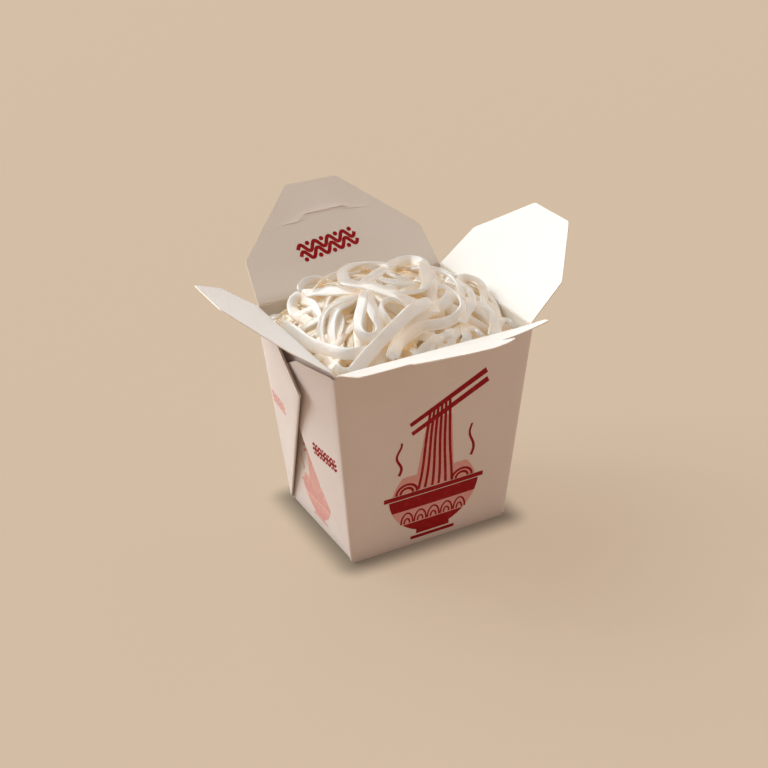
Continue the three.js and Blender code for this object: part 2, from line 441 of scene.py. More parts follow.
@dataclass(frozen=True)
class Palette:
    """Every finish of the object. The board's inside is one board, lighter, darker or warmer from part to
    part as painted light and shade.
    """

    outside: BoardFinish = BoardFinish("board outside", (0.74, 0.665, 0.635), (0.71, 0.63, 0.60))
    inside: BoardFinish = BoardFinish("board inside", (0.74, 0.715, 0.67), (0.71, 0.68, 0.635))
    # Darker copy of the inside board, for the front flap: painted shade.
    painted_shade: BoardFinish = BoardFinish("board inside, handled", (0.67, 0.64, 0.60), (0.64, 0.61, 0.565))
    # Warmer copy of the inside board, for the back flap and the inside of the walls: painted warm bounce
    # light.
    painted_warm_bounce: BoardFinish = BoardFinish("board inside, steamed", (0.72, 0.664, 0.582), (0.69, 0.631, 0.552))
    # Lighter copy of the inside board, for the left flap: painted light.
    clean: BoardFinish = BoardFinish("board inside, clean", (0.78, 0.77, 0.74), (0.755, 0.745, 0.71))
    edge: BoardFinish = BoardFinish("board cut edge", (0.84, 0.76, 0.68), (0.78, 0.69, 0.61))
    # The raw board edge's own brown, made darker as painted shadow for the gap under the webs.
    cut: BoardFinish = BoardFinish("board raw edge, painted shadow", (0.42, 0.31, 0.24), (0.37, 0.27, 0.20))
    red: InkFinish = InkFinish("red ink", (0.28, 0.003, 0.006), (0.36, 0.014, 0.018))
    pink: InkFinish = InkFinish("pale ink", (0.68, 0.34, 0.31), (0.70, 0.39, 0.36))
    faded: InkFinish = InkFinish("faded ink", (0.74, 0.45, 0.39), (0.76, 0.50, 0.44))
    # The glow colours are painted light; the warmer deep colour is painted shade between the strands.
    noodle: NoodleFinish = NoodleFinish(
        "rice noodle",
        pale=(0.208, 0.200, 0.192),
        warm=(0.202, 0.186, 0.170),
        deep=(0.35, 0.28, 0.18),
        painted_glow=(0.338, 0.311, 0.276),
        painted_glow_deep=(0.185, 0.128, 0.068),
    )
    # The body below the strands shows only in the gaps; its dark warm tan is painted shade there, with a
    # faint painted glow.
    heap: NoodleFinish = NoodleFinish(
        "noodles below, painted shade",
        pale=(0.50, 0.40, 0.28),
        warm=(0.48, 0.37, 0.26),
        deep=(0.48, 0.37, 0.26),
        painted_glow=(0.08, 0.052, 0.028),
        painted_glow_deep=(0.08, 0.052, 0.028),
        roughness=0.4,
        see_through=0.3,
    )


# ---------------------------------------------------------------- the board


class Side(Enum):
    """The four walls, each with the compass angle that its outside faces."""

    RIGHT = 0.0
    BACK = 90.0
    LEFT = 180.0
    FRONT = -90.0

    @property
    def outward(self) -> Vector:
        """The level direction out of the wall."""
        angle = math.radians(self.value)
        return Vector((math.cos(angle), math.sin(angle), 0))

    @property
    def across(self) -> Vector:
        """The level direction along the wall, to the right as one faces it from outside."""
        return Vector((0, 0, 1)).cross(self.outward)

    @property
    def body_name(self) -> str:
        """The wall's name in lower case."""
        return self.name.lower()


@dataclass(frozen=True)
class Face:
    """A face of board: u runs across it, v up or out along it, and its normal off its shown side."""

    origin: Vector
    across: Vector
    up: Vector
    bend: Callable[[float, float], float]

    @property
    def normal(self) -> Vector:
        """The direction off the shown side."""
        return self.across.cross(self.up)

    def at(self, u: float, v: float, off: float = 0.0) -> Vector:
        """The point at u and v, a little off the face and following its bend."""
        return self.origin + self.across * u + self.up * v + self.normal * (off + self.bend(u, v))


@dataclass(frozen=True)
class PailSizes:
    """The pail's own sizes, which the solid model shares."""

    base: Flat = (82.5, 68.0)
    top: Flat = (101.0, 84.0)
    height: float = 106.0
    rim: float = 105.75
    board: float = 0.45
    crease_gap: float = 0.3
    belly: float = 0.7

    def half(self, axis: int, height: float) -> float:
        """Half the outside width along X (0) or Y (1) at a height."""
        return mix(self.base[axis], self.top[axis], height / self.height) / 2

    def swell(self, along: float, height: float) -> float:
        """How far a filled wall bulges, for a share from its middle to its edge and a height."""
        rise = math.sin(math.pi * min(max(height / self.height, 0), 1)) ** 0.8
        return self.belly * max(0.0, 1 - along * along) * rise

    def wall(self, side: Side) -> Face:
        """The outside of a wall, with v from the base edge up the slope."""
        deep = 1 if side in (Side.FRONT, Side.BACK) else 0
        foot = side.outward * self.half(deep, 0)
        head = side.outward * self.half(deep, self.height) + Vector((0, 0, self.height))
        up = (head - foot).normalized()

        def bend(u: float, v: float) -> float:
            """How far the wall bulges there."""
            height = v * up.z
            return self.swell(u / self.half(1 - deep, height), height)

        return Face(foot, side.across, up, bend)


@dataclass
class PailShell:
    """The floor and the four walls, folded from one sheet."""

    sizes: PailSizes
    palette: Palette
    corner: float = 0.8
    base_corner: float = 0.5
    spacing: float = 8.0

    def mesh(self) -> BMesh:
        """Fold the sheet: a tapered box with soft corners, open at the top, that bulges a little."""
        sizes = self.sizes
        bm = bmesh.new()
        bmesh.ops.create_cube(bm, size=2.0)
        for vert in bm.verts:
            level = 0.0 if vert.co.z < 0 else sizes.rim
            vert.co = Vector((vert.co.x * sizes.half(0, level), vert.co.y * sizes.half(1, level), level))
        lid = [face for face in bm.faces if face.calc_center_median().z > sizes.rim - 1]
        bmesh.ops.delete(bm, geom=lid, context="FACES_ONLY")
        self._round(bm, lambda edge: abs(edge.verts[0].co.z - edge.verts[1].co.z) > 1, self.corner)
        self._round(bm, lambda edge: max(vert.co.z for vert in edge.verts) < 0.01, self.base_corner)
        cut_lines(bm, Vector((0, 0, 1)), marks_between(0, sizes.rim, self.spacing))
        for normal, width in zip((Vector((1, 0, 0)), Vector((0, 1, 0))), sizes.top):
            cut_lines(bm, normal, marks_between(-width / 2, width / 2, self.spacing))
        self._swell(bm)
        bm.normal_update()
        outer = list(bm.faces)
        bmesh.ops.solidify(bm, geom=outer, thickness=sizes.board)
        self._dress(bm, outer)
        return bm

    @staticmethod
    def _round(bm: BMesh, wanted: Callable[[bmesh.types.BMEdge], bool], radius: float) -> None:
        """Round the edges that a test picks."""
        edges = [edge for edge in bm.edges if len(edge.link_faces) == 2 and wanted(edge)]
        bmesh.ops.bevel(bm, geom=edges, offset=radius, segments=4, profile=0.5, affect="EDGES", material=-1)

    def _swell(self, bm: BMesh) -> None:
        """Push the middles of the walls out."""
        for vert in bm.verts:
            height = vert.co.z
            shares = [vert.co[axis] / self.sizes.half(axis, height) for axis in (0, 1)]
            for axis in (0, 1):
                if abs(shares[axis]) > 0.99:
                    push = self.sizes.swell(shares[1 - axis], height)
                    vert.co[axis] += math.copysign(push, shares[axis])

    def _dress(self, bm: BMesh, outer: list[bmesh.types.BMFace]) -> None:
        """Give the inside (1) and the cut rim (2) their own finishes."""
        bm.normal_update()
        shown = set(outer)
        for face in bm.faces:
            if face not in shown:
                high = face.calc_center_median().z > self.sizes.height / 2
                face.material_index = 2 if high and face.normal.z > 0.9 else 1

    def build(self) -> Piece:
        """Make the piece."""
        # The inside of the walls wears the warmer copy of the inside board, painted warm bounce light.
        finishes = (self.palette.outside, self.palette.painted_warm_bounce, self.palette.edge)
        materials = [finish.material() for finish in finishes]
        return finish_piece(self.mesh(), "pail_shell", "pail", materials, ["pail"])


@dataclass(frozen=True)
class WebLie:
    """How a web lies on its wall: the slope at which it leaves the corner, and how it bows back."""

    swing: float
    bow: float


@dataclass
class FoldedWeb:
    """A corner of the sheet folded double and laid against the wall beside it."""

    sizes: PailSizes
    palette: Palette
    side: int
    end: int
    lie: WebLie
    # Each corner of the web's outline: its reach, its height up the corner, and its row of the sheet.
    outline: tuple[Triple, ...] = ((1, 1.5, 0), (56.5, 83.6, 6), (33, 98.5, 8), (4, 105, 9))
    gap: float = 0.27
    flush: float = 0.03
    lift: float = 0.26
    leaf: float = 0.45
    wrap: float = 1.2
    columns: tuple[int, int, int] = (4, 10, 6)
    rows: int = 27

    def __post_init__(self) -> None:
        """Work out the corner's directions."""
        half, top = self.sizes.half, self.sizes.height
        self.foot = Vector((self.side * half(0, 0), self.end * half(1, 0), 0))
        head = Vector((self.side * half(0, top), self.end * half(1, top), top))
        self.edge = (head - self.foot).normalized()
        across = Vector((0, -self.end, 0))
        self.across = (across - self.edge * across.dot(self.edge)).normalized()
        self.outward = self.across.cross(self.edge) * (self.side * -self.end)
        inboard = Vector((-self.side, 0, 0))
        self.inboard = (inboard - self.edge * inboard.dot(self.edge)).normalized()
        self.end_outward = self.inboard.cross(self.edge)
        if self.end_outward.y * self.end < 0:
            self.end_outward.negate()

    def _stand(self, reach: float) -> float:
        """How far the middle of the double board stands off the wall, a reach from the corner."""
        sweep = self.lie.swing * reach * (1 - self.lie.bow * reach**2)
        return sweep + self.lift + self.gap + self.leaf / 2

    @property
    def face(self) -> Face:
        """The web's shown side, with u from the corner and v up it."""
        way = 1 if self.across.cross(self.edge).dot(self.outward) > 0 else -1

        def bend(u: float, v: float) -> float:
            """How far the shown side stands off the wall there."""
            return self._stand(abs(u)) + self.gap + self.leaf / 2

        return Face(self.foot, self.across * way, self.edge, bend)

    def _row(self, share: float) -> tuple[float, float]:
        """The web's whole reach, and the height up the corner, on a row of the sheet."""
        row = share * self.outline[-1][2]
        for low, high in zip(self.outline, self.outline[1:]):
            if row <= high[2] + 1e-6:
                part = (row - low[2]) / (high[2] - low[2])
                return mix(low[0], high[0], part), mix(low[1], high[1], part)
        return self.outline[-1][:2]

    def _wrap_point(self, share: float, up: float, reach: float) -> Vector:
        """A point on the soft corner where the end wall turns into the web."""
        bent = min(self.wrap, reach)
        flush = -self.leaf / 2 - self.flush
        start = self.inboard * self.wrap + self.end_outward * flush
        middle = self.outward * (self._stand(0) + self.gap) + self.end_outward * flush
        finish = self.across * bent + self.outward * (self._stand(bent) + self.gap)
        place = start * (1 - share) ** 2 + middle * 2 * share * (1 - share) + finish * share**2
        return self.foot + self.edge * up + place

    def _point(self, column: float, share: float) -> Vector:
        """A point of the folded sheet: round the corner, across, round the fold and back."""
        wrap, outer, bend = self.columns
        step = column * (wrap + 2 * outer + bend)
        reach, up = self._row(share)
        full = max(reach - self.gap, 0.2)
        bent = min(self.wrap, full)
        if step < wrap:
            return self._wrap_point(step / wrap, up, full)
        if step <= wrap + outer:
            across = mix(bent, full, (step - wrap) / outer)
            off = self._stand(across) + self.gap
        elif step < wrap + outer + bend:
            turn = math.pi * (step - wrap - outer) / bend
            across = full + self.gap * math.sin(turn)
            off = self._stand(full) + self.gap * math.cos(turn)
        else:
            across = mix(full, bent, (step - wrap - outer - bend) / outer)
            off = self._stand(across) - self.gap
        return self.foot + self.edge * up + self.across * across + self.outward * off

    def mesh(self) -> BMesh:
        """Fold the sheet, open the fold along the cut edges, and give it the board's thickness."""
        wrap, outer, bend = self.columns
        total = wrap + 2 * outer + bend
        bm = bmesh.new()
        made = bmesh.ops.create_grid(bm, x_segments=total, y_segments=self.rows, size=0.5)
        cut_from = self.outline[1][2] / self.outline[-1][2]
        opened = []
        for face in bm.faces:
            middle = face.calc_center_median()
            column = (middle.x + 0.5) * total
            if wrap + outer < column < wrap + outer + bend and middle.y + 0.5 > cut_from:
                opened.append(face)
        for vert in made["verts"]:
            vert.co = self._point(vert.co.x + 0.5, vert.co.y + 0.5)
        bmesh.ops.delete(bm, geom=opened, context="FACES")
        bm.normal_update()
        outermost = max(bm.faces, key=lambda face: face.calc_center_median().dot(self.outward))
        if outermost.normal.dot(self.outward) < 0:
            bmesh.ops.reverse_faces(bm, faces=bm.faces[:])
        bm.normal_update()
        for vert in bm.verts:
            vert.co += vert.normal * (self.leaf / 2)
        shown = set(bm.faces)
        rim = {vert for edge in bm.edges if edge.is_boundary for vert in edge.verts}
        bmesh.ops.solidify(bm, geom=bm.faces[:], thickness=self.leaf)
        for face in bm.faces:
            # The cut edges and the underside next to them take the raw-edge finish, darkened as painted
            # shadow in the gap under the web.
            if face not in shown and sum(vert in rim for vert in face.verts) > 1:
                face.material_index = 1
        return bm

    def build(self) -> Piece:
        """Make the piece."""
        name = f"web_{'left' if self.side < 0 else 'right'}_{'front' if self.end < 0 else 'back'}"
        materials = [self.palette.outside.material(), self.palette.cut.material()]
        return finish_piece(self.mesh(), name, "pail", materials)


@dataclass
class Flap:
    """A top flap: a flat sheet on its crease, with its own outline, lean and bend."""

    sizes: PailSizes
    palette: Palette
    side: Side
    inner: BoardFinish
    lean: float
    outline: Sequence[Flat]
    bend: Callable[[float, float], float]
    slit: Sequence[Flat] = ()
    corner: float = 1.2
    other_half: Sequence[Flat] = ()
    crease: float = 0.5
    roll_steps: int = 6
    spacing: float = 5.0
    slit_open: float = 0.10
    lip_up: float = 0.35
    lip_down: float = 0.05

    @property
    def face(self) -> Face:
        """The flap's inner side, with v from the crease outwards."""
        deep = 1 if self.side in (Side.FRONT, Side.BACK) else 0
        reach = self.sizes.top[deep] / 2 + self.sizes.crease_gap
        crease = self.side.outward * reach + Vector((0, 0, self.sizes.height))
        lean = math.radians(self.lean)
        out = self.side.outward * math.cos(lean) + Vector((0, 0, math.sin(lean)))
        return Face(crease, -self.side.across, out, self.bend)

    def _place(self, flat: Vector) -> Vector:
        """A point of the sheet: rolled round the crease line at its root, flat beyond it."""
        face = self.face
        if flat.y >= 0:
            return face.at(flat.x, flat.y, self.crease)
        turn = -flat.y / self.crease
        lift = self.crease * math.cos(turn)
        return face.at(flat.x, 0, 0) - face.up * (self.crease * math.sin(turn)) + face.normal * lift

    def _cut_slit(self, bm: BMesh) -> None:
        """Cut the locking slit through the sheet and lift one of its lips a little."""
        for (u0, v0), (u1, v1) in zip(self.slit, self.slit[1:]):
            facing = Vector((v0 - v1, u1 - u0, 0)).normalized()
            everything = [*bm.verts, *bm.edges, *bm.faces]
            bmesh.ops.bisect_plane(bm, geom=everything, plane_co=Vector((u0, v0, 0)), plane_no=facing)
        first, last = self.slit[0][0], self.slit[-1][0]
        cut_lines(bm, Vector((1, 0, 0)), [first, last])

        def on_slit(vert: bmesh.types.BMVert) -> bool:
            """Whether a corner of the mesh lies on the slit."""
            height = np.interp(vert.co.x, *zip(*self.slit))
            return first - 1e-3 <= vert.co.x <= last + 1e-3 and abs(vert.co.y - height) < 2e-3

        lips = [edge for edge in bm.edges if all(on_slit(vert) for vert in edge.verts)]
        bmesh.ops.split_edges(bm, edges=lips)
        for vert in bm.verts:
            if on_slit(vert) and first + 0.1 < vert.co.x < last - 0.1:
                above = sum(face.calc_center_median().y - vert.co.y for face in vert.link_faces) > 0
                ease = math.sin(math.pi * (vert.co.x - first) / (last - first))
                vert.co.y += (self.slit_open if above else -self.slit_open) * ease
                vert.co.z = (self.lip_up if above else -self.lip_down) * ease

    def mesh(self) -> BMesh:
        """Cut the sheet out, crease it, bend it and give it the board's thickness."""
        bm = bmesh.new()
        roll = math.pi * self.crease
        halves = (self.other_half or self.outline, self.outline)
        half, mirrored = ([(u, v if v else -roll) for u, v in outline] for outline in halves)
        corners = [*half, *[(-u, v) for u, v in reversed(mirrored)]]
        verts = [bm.verts.new((u, v, 0)) for u, v in corners]
        bm.faces.new(verts)
        outer = [vert for vert in verts if vert.co.y > 0]
        bmesh.ops.bevel(
            bm, geom=outer, offset=self.corner, segments=3, profile=0.5, affect="VERTICES", material=-1
        )
        wide = max(u for u, _ in self.outline)
        long = max(v for _, v in self.outline)
        cut_lines(bm, Vector((1, 0, 0)), marks_between(-wide, wide, self.spacing))
        rolled = [-roll * step / self.roll_steps for step in range(self.roll_steps)]
        cut_lines(bm, Vector((0, 1, 0)), rolled)
        cut_lines(bm, Vector((0, 1, 0)), marks_between(0, long, self.spacing))
        if self.slit:
            self._cut_slit(bm)
        for vert in bm.verts:
            lip = vert.co.z
            vert.co = self._place(vert.co) + self.face.normal * lip
        bm.normal_update()
        if sum((face.normal * face.calc_area() for face in bm.faces), Vector()).dot(self.face.normal) < 0:
            bmesh.ops.reverse_faces(bm, faces=bm.faces[:])
            bm.normal_update()
        inner = list(bm.faces)
        bmesh.ops.solidify(bm, geom=inner, thickness=self.sizes.board)
        bm.normal_update()
        shown = set(inner)
        for face in bm.faces:
            if face not in shown:
                down = face.normal.dot(self.face.normal) < -0.5
                face.material_index = 1 if down else 2
        return bm

    def build(self) -> Piece:
        """Make the piece."""
        finishes = (self.inner, self.palette.outside, self.palette.edge)
        materials = [finish.material() for finish in finishes]
        name = f"flap_{self.side.body_name}"
        return finish_piece(self.mesh(), f"{name}_sheet", name, materials, [name])


# ---------------------------------------------------------------- the prints


class Inkwork:
    """Flat shapes of ink, drawn in the plane of a face and then laid on it in up to two layers."""

    spacing: float = 6.0
    film: float = 0.05
    first_layer: float = 0.05
    second_layer: float = 0.09

    def __init__(self) -> None:
        """Start an empty drawing."""
        self.bm = bmesh.new()

    def stroke(self, line: Sequence[Flat], width: float, tip: float = 1.0, spacing: float = 0.8) -> None:
        """Draw a line that may thin towards its end.

        Args:
            line: The places that it runs through.
            width: Its width at the start.
            tip: Its width at the end, as a share of that.
            spacing: The length of its steps.
        """
        self._band(smooth_line(line, spacing), width, tip)

    def bar(self, start: Flat, end: Flat, width: float, tip: float = 1.0) -> None:
        """Draw a straight bar."""
        steps = max(2, round(math.dist(start, end) / 3))
        shares = np.linspace(0, 1, steps + 1)[:, None]
        self._band(np.array(start) * (1 - shares) + np.array(end) * shares, width, tip)

    def _band(self, route: np.ndarray, width: float, tip: float) -> None:
        """Lay a band along a marked-off route."""
        along = unit_rows(np.gradient(route, axis=0))
        last = len(route) - 1

        def place(share: float, side: float) -> Vector:
            """A corner of the band, for a share along it and a share across it."""
            index = round(share * last)
            half = width / 2 * mix(1, tip, share)
            x = route[index][0] + along[index][1] * half * (1 - 2 * side)
            y = route[index][1] - along[index][0] * half * (1 - 2 * side)
            return Vector((x, y, 0))

        grid_sheet(self.bm, last, 1, place)

    def field(self, centre: Flat, radius: float, low: float, high: float) -> None:
        """Fill the part of a disc between two levels, measured from its centre."""
        made = bmesh.new()
        bmesh.ops.create_circle(made, cap_ends=True, segments=64, radius=radius)
        for level, facing in ((low, -1), (high, 1)):
            bmesh.ops.bisect_plane(
                made,
                geom=[*made.verts, *made.edges, *made.faces],
                plane_co=(0, level, 0),
                plane_no=(0, facing, 0),
                clear_outer=True,
            )
        bmesh.ops.translate(made, vec=(*centre, 0), verts=made.verts)
        merge_into(self.bm, made)

    def arc(self, centre: Flat, radius: float, width: float, tall: float = 1.0) -> None:
        """Draw an upright half ring, so many times as tall as a round one."""
        x, y = centre
        angles = np.linspace(0, math.pi, 9)
        line = [(x + radius * math.cos(angle), y + tall * radius * math.sin(angle)) for angle in angles]
        self.stroke(line, width, 1.0, 0.5)

    def wave(self, centre: Flat, length: float, height: float, turns: float, width: float) -> None:
        """Draw a level wave."""
        count = max(8, round(turns * 8))
        line = []
        for index in range(count + 1):
            share = index / count
            sway = math.sin(2 * math.pi * turns * share)
            line.append((centre[0] + length * (share - 0.5), centre[1] + height / 2 * sway))
        self.stroke(line, width, 1.0, 0.5)

    def dot(self, centre: Flat, radius: float) -> None:
        """Draw a round spot."""
        self.field(centre, radius, -radius, radius)

    def lay(self, face: Face, centre: Flat, off: float, scale: float = 1.0, turn: float = 0.0) -> BMesh:
        """Put the drawing on a face.

        Args:
            face: The face.
            centre: Where the drawing's own origin comes.
            off: How far the ink stands off the face.
            scale: How large it is drawn.
            turn: How far it is turned, in degrees.

        Returns:
            The finished mesh.
        """
        bm = self.bm
        spin = Matrix.Rotation(math.radians(turn), 4, "Z") @ Matrix.Scale(scale, 4)
        bmesh.ops.transform(bm, matrix=Matrix.Translation((*centre, 0)) @ spin, verts=bm.verts)
        for axis, normal in enumerate((Vector((1, 0, 0)), Vector((0, 1, 0)))):
            places = [vert.co[axis] for vert in bm.verts]
            cut_lines(bm, normal, marks_between(min(places), max(places), self.spacing))
        for vert in bm.verts:
            vert.co = face.at(vert.co.x, vert.co.y, off)
        bm.normal_update()
        wrong = [part for part in bm.faces if part.normal.dot(face.normal) < 0]
        bmesh.ops.reverse_faces(bm, faces=wrong)
        bm.normal_update()
        bmesh.ops.solidify(bm, geom=bm.faces[:], thickness=self.film)
        return bm


@dataclass
class BowlPrint:
    """A bowl from which two sticks lift a bundle of noodles, drawn in two inks.

    The levels of the bowl's parts are measured from its rim.
    """

    radius: float = 24.5
    rim: float = 31.0
    lip: float = -2.6
    band: Flat = (-18.0, -9.4)
    keel: float = -23.0
    foot: float = -27.2
    lifted: float = 39.0
    stick_slope: float = 0.47
    stick_reach: float = 40.0
    strands: int = 6
    pitch: float = 3.5
    narrowing: float = 0.42
    drift: float = 1.5

    def fields(self) -> Inkwork:
        """The pale fields behind the drawing."""
        ink = Inkwork()
        ink.field((0, self.rim), self.radius, *self.band)
        ink.field((0, self.rim - 6), self.radius - 1, 6.6, 16)
        ink.bar((0, self.rim + 5), (self.drift, self.rim + self.lifted), 21.0, 0.62)
        return ink

    def lines(self) -> Inkwork:
        """The drawing itself: the bowl, what heaps in it, the lifted bundle, the sticks and steam."""
        ink = Inkwork()
        rim, radius = self.rim, self.radius
        ink.field((0, rim), radius, self.band[1], self.lip)
        ink.field((0, rim), radius, self.keel, self.band[0])
        for half, level, width in ((radius + 2.5, -0.9, 2.4), (9.0, -24.0, 2.6), (12.0, self.foot, 1.8)):
            ink.bar((-half, rim + level), (half, rim + level), width)
        for index in range(5):
            for ring in (3.2, 1.5):
                ink.arc((-14.4 + 7.2 * index, rim - 17.4), ring, 0.9, 1.9)
        for side in (-1, 1):
            for ring in (5.6, 3.4):
                ink.arc((side * 15.0, rim + 0.6), ring, 1.3, 0.9)
        self._bundle(ink)
        reach = self.stick_reach
        for start, level in ((-13, 33.5), (-14, 38.5)):
            tip = (start + reach, rim + level + reach * self.stick_slope)
            ink.bar((start, rim + level), tip, 2.2, 1.35)
        for start, turns in ((-19.5, 1.3), (19.5, 1.0)):
            sways = [1.3 * math.sin(2 * math.pi * turns * step / 10) for step in range(11)]
            steam = [(start + sway, rim + 12 + 1.8 * step) for step, sway in enumerate(sways)]
            ink.stroke(steam, 1.5, 0.7)
        return ink

    def _bundle(self, ink: Inkwork) -> None:
        """Draw the lifted noodles: wavy lines, each pair of them looped over the sticks."""
        spread = 1 - self.narrowing
        for index in range(self.strands):
            place = index - (self.strands - 1) / 2
            top = self.lifted + 6.5 + self.stick_slope * place * self.pitch * spread
            line = []
            for step in range(13):
                share = step / 12
                across = place * self.pitch * (1 - self.narrowing * share) + self.drift * share
                sway = 0.7 * math.sin(5.2 * share + 0.7 * (index // 2)) * (1 - share)
                line.append((across + sway, self.rim + 1 + (top - 1) * share))
            ink.stroke(line, 1.4, 1.0)
            if index % 2 == 0:
                half = self.pitch * spread / 2
                ink.arc((line[-1][0] + half, line[-1][1] + 0.3), half, 1.3, 1.1)

    def build(
        self, name: str, face: Face, centre: Flat, scale: float, inks: tuple[InkFinish, InkFinish]
    ) -> None:
        """Make the two pieces of the print.

        Args:
            name: The start of their names.
            face: The face that they lie on.
            centre: Where the bowl's foot stands.
            scale: How large it is.
            inks: The pale ink and the dark ink.
        """
        layers = (
            ("fields", self.fields(), Inkwork.first_layer),
            ("lines", self.lines(), Inkwork.second_layer),
        )
        for (part, drawing, off), ink in zip(layers, inks):
            laid = drawing.lay(face, centre, off, scale)
            finish_piece(laid, f"{name}_{part}", "pail", [ink.material()])


@dataclass
class WavePrint:
    """A small ornament: waves between two rows of spots."""

    length: float
    height: float
    turns: int
    line: float

    def build(self, name: str, body: str, face: Face, centre: Flat, turn: float, ink: InkFinish) -> None:
        """Make the ornament.

        Args:
            name: The piece's name.
            body: The body that it rides on.
            face: The face that it lies on.
            centre: Its middle.
            turn: How far it is turned, in degrees.
            ink: Its ink.
        """
        drawing = Inkwork()
        swing = self.height * 0.46
        for level in (-1, 1):
            drawing.wave((0, level * self.height * 0.2), self.length, swing, self.turns, self.line)
        step = self.length / self.turns
        for index in range(self.turns):
            across = (index + 0.5) * step - self.length / 2
            for side in (1, -1):
                drawing.dot((across + side * step * 0.25, side * self.height * 0.42), self.line * 0.62)
        laid = drawing.lay(face, centre, Inkwork.first_layer, 1.0, turn)
        finish_piece(laid, name, body, [ink.material()])


# ---------------------------------------------------------------- the noodles


@dataclass(frozen=True)
class HeapForm:
    """The heap's surface: its level in the corners, and the crown that swells from there."""

    level: float = 93.0
    crown: float = 29.5
    middle: Flat = (3.0, 5.0)
    span: Flat = (56.0, 49.0)
    power: float = 2.5

    def height(self, x: np.ndarray, y: np.ndarray) -> np.ndarray:
        """The surface's height over a place in plan."""
        across = np.minimum(np.abs(x - self.middle[0]) / self.span[0], 1) ** self.power
        deep = np.minimum(np.abs(y - self.middle[1]) / self.span[1], 1) ** self.power
        return self.level + self.crown * (1 - across) * (1 - deep)

    def outward(self, x: np.ndarray, y: np.ndarray) -> np.ndarray:
        """The direction straight out of the surface, one row for each place."""
        slope_x = self.height(x + 1, y) - self.height(x - 1, y)
        slope_y = self.height(x, y + 1) - self.height(x, y - 1)
        normal = np.column_stack([-slope_x / 2, -slope_y / 2, np.ones_like(slope_x)])
        return unit_rows(normal)


@dataclass
class Strand:
    """One noodle: its route in plan, its section and how it rolls over where it bends.

    A third value on the route is the height at which it is held up; 0 lets it sink.
    """

    route: Sequence[Sequence[float]]
    width: float
    thickness: float = 2.1
    roll: float = 0.0
    bend_roll: float = 50.0
    bend_radius: float = 9.0
    sink: float = 0.2
    top: float = 3.0
    play: float = 0.7
    dive: float = 0.0
    dive_reach: float = 9.0
    squareness: float = 0.65
    unevenness: float = 0.05
    blunting: float = 1.6
    sides: int = 12
    spacing: float = 1.4


@dataclass
class LaidStrand:
    """A noodle where it came to lie.

    It has its middle line, how far it is rolled there in radians, and how far it is pressed into
    what lies below it.
    """

    strand: Strand
    line: np.ndarray
    roll: np.ndarray
    pressed: np.ndarray

    def part(self, wanted: np.ndarray, beyond: int = 2) -> "LaidStrand":
        """Its longest run of wanted points and a few beyond them, with both ends bent into the heap."""
        edges = np.flatnonzero(np.diff(np.concatenate([[0], wanted.astype(int), [0]])))
        runs = list(zip(edges[::2], edges[1::2]))
        start, stop = max(runs, key=lambda run: run[1] - run[0], default=(0, 0))
        span = slice(max(0, start - beyond), stop + beyond if stop > start else stop)
        line = self.line[span].copy()
        steps = np.arange(len(line))
        from_end = np.minimum(steps, steps[::-1]) * self.strand.spacing
        bent = np.clip(1 - from_end / self.strand.dive_reach, 0, 1) ** 2
        line[:, 2] -= self.strand.dive * bent
        return LaidStrand(self.strand, line, self.roll[span], self.pressed[span])

    def add_to(self, bm: BMesh, pile: "Pile") -> None:
        """Bend a closed tube of the noodle's section along its line.

        Args:
            bm: The mesh it is added to.
            pile: The heap, whose surface the flat side follows.
        """
        strand, line = self.strand, self.line
        rings = len(line)
        tangent = unit_rows(np.gradient(line, axis=0))
        outward = pile.form.outward(line[:, 0], line[:, 1])
        outward = np.column_stack([eased(outward[:, axis], 2.0) for axis in range(3)])
        side = unit_rows(np.cross(outward, tangent))
        lift = np.cross(tangent, side)
        turned = self.roll[:, None]
        wide = side * np.cos(turned) + lift * np.sin(turned)
        thin = lift * np.cos(turned) - side * np.sin(turned)
        share = np.linspace(0, 1, rings)
        swell = 1 + strand.unevenness * np.sin(share * 9 + strand.width * 7)
        from_end = np.minimum(np.arange(rings), np.arange(rings)[::-1]) * strand.spacing
        near_end = np.clip(1 - (from_end + 0.3) / strand.blunting, 0, 1)
        blunt = np.sqrt(np.clip(1 - near_end**2, 0.05, 1))

        tube = bmesh.new()
        depth = tube.verts.layers.float.new("depth")
        bmesh.ops.create_cone(
            tube, cap_ends=True, cap_tris=False, segments=strand.sides, radius1=1, radius2=1, depth=1
        )
        upright = [edge for edge in tube.edges if abs(edge.verts[0].co.z - edge.verts[1].co.z) > 0.5]
        bmesh.ops.subdivide_edges(tube, edges=upright, cuts=rings - 2, use_grid_fill=True)
        for vert in tube.verts:
            ring = min(rings - 1, max(0, round((vert.co.z + 0.5) * (rings - 1))))
            angle = math.atan2(vert.co.y, vert.co.x)
            flat = math.copysign(abs(math.cos(angle)) ** strand.squareness, math.cos(angle))
            high = math.copysign(abs(math.sin(angle)) ** strand.squareness, math.sin(angle))
            reach = strand.width / 2 * flat * swell[ring] * (0.55 + 0.45 * blunt[ring])
            rise = strand.thickness / 2 * high * blunt[ring]
            place = line[ring] + wide[ring] * reach + thin[ring] * rise
            vert.co = Vector(place)
            # The depth drives the material's painted shade and glow.
            vert[depth] = pile.shade(place)
        bmesh.ops.recalc_face_normals(tube, faces=tube.faces[:])
        merge_into(bm, tube)


def eased(values: np.ndarray, sigma: float) -> np.ndarray:
    """Smooth a row of values by a bell of so many steps, holding its ends."""
    reach = max(1, round(3 * sigma))
    bell = np.exp(-0.5 * (np.arange(-reach, reach + 1) / sigma) ** 2)
    padded = np.pad(values, reach, mode="edge")
    return np.convolve(padded, bell / bell.sum(), mode="valid")


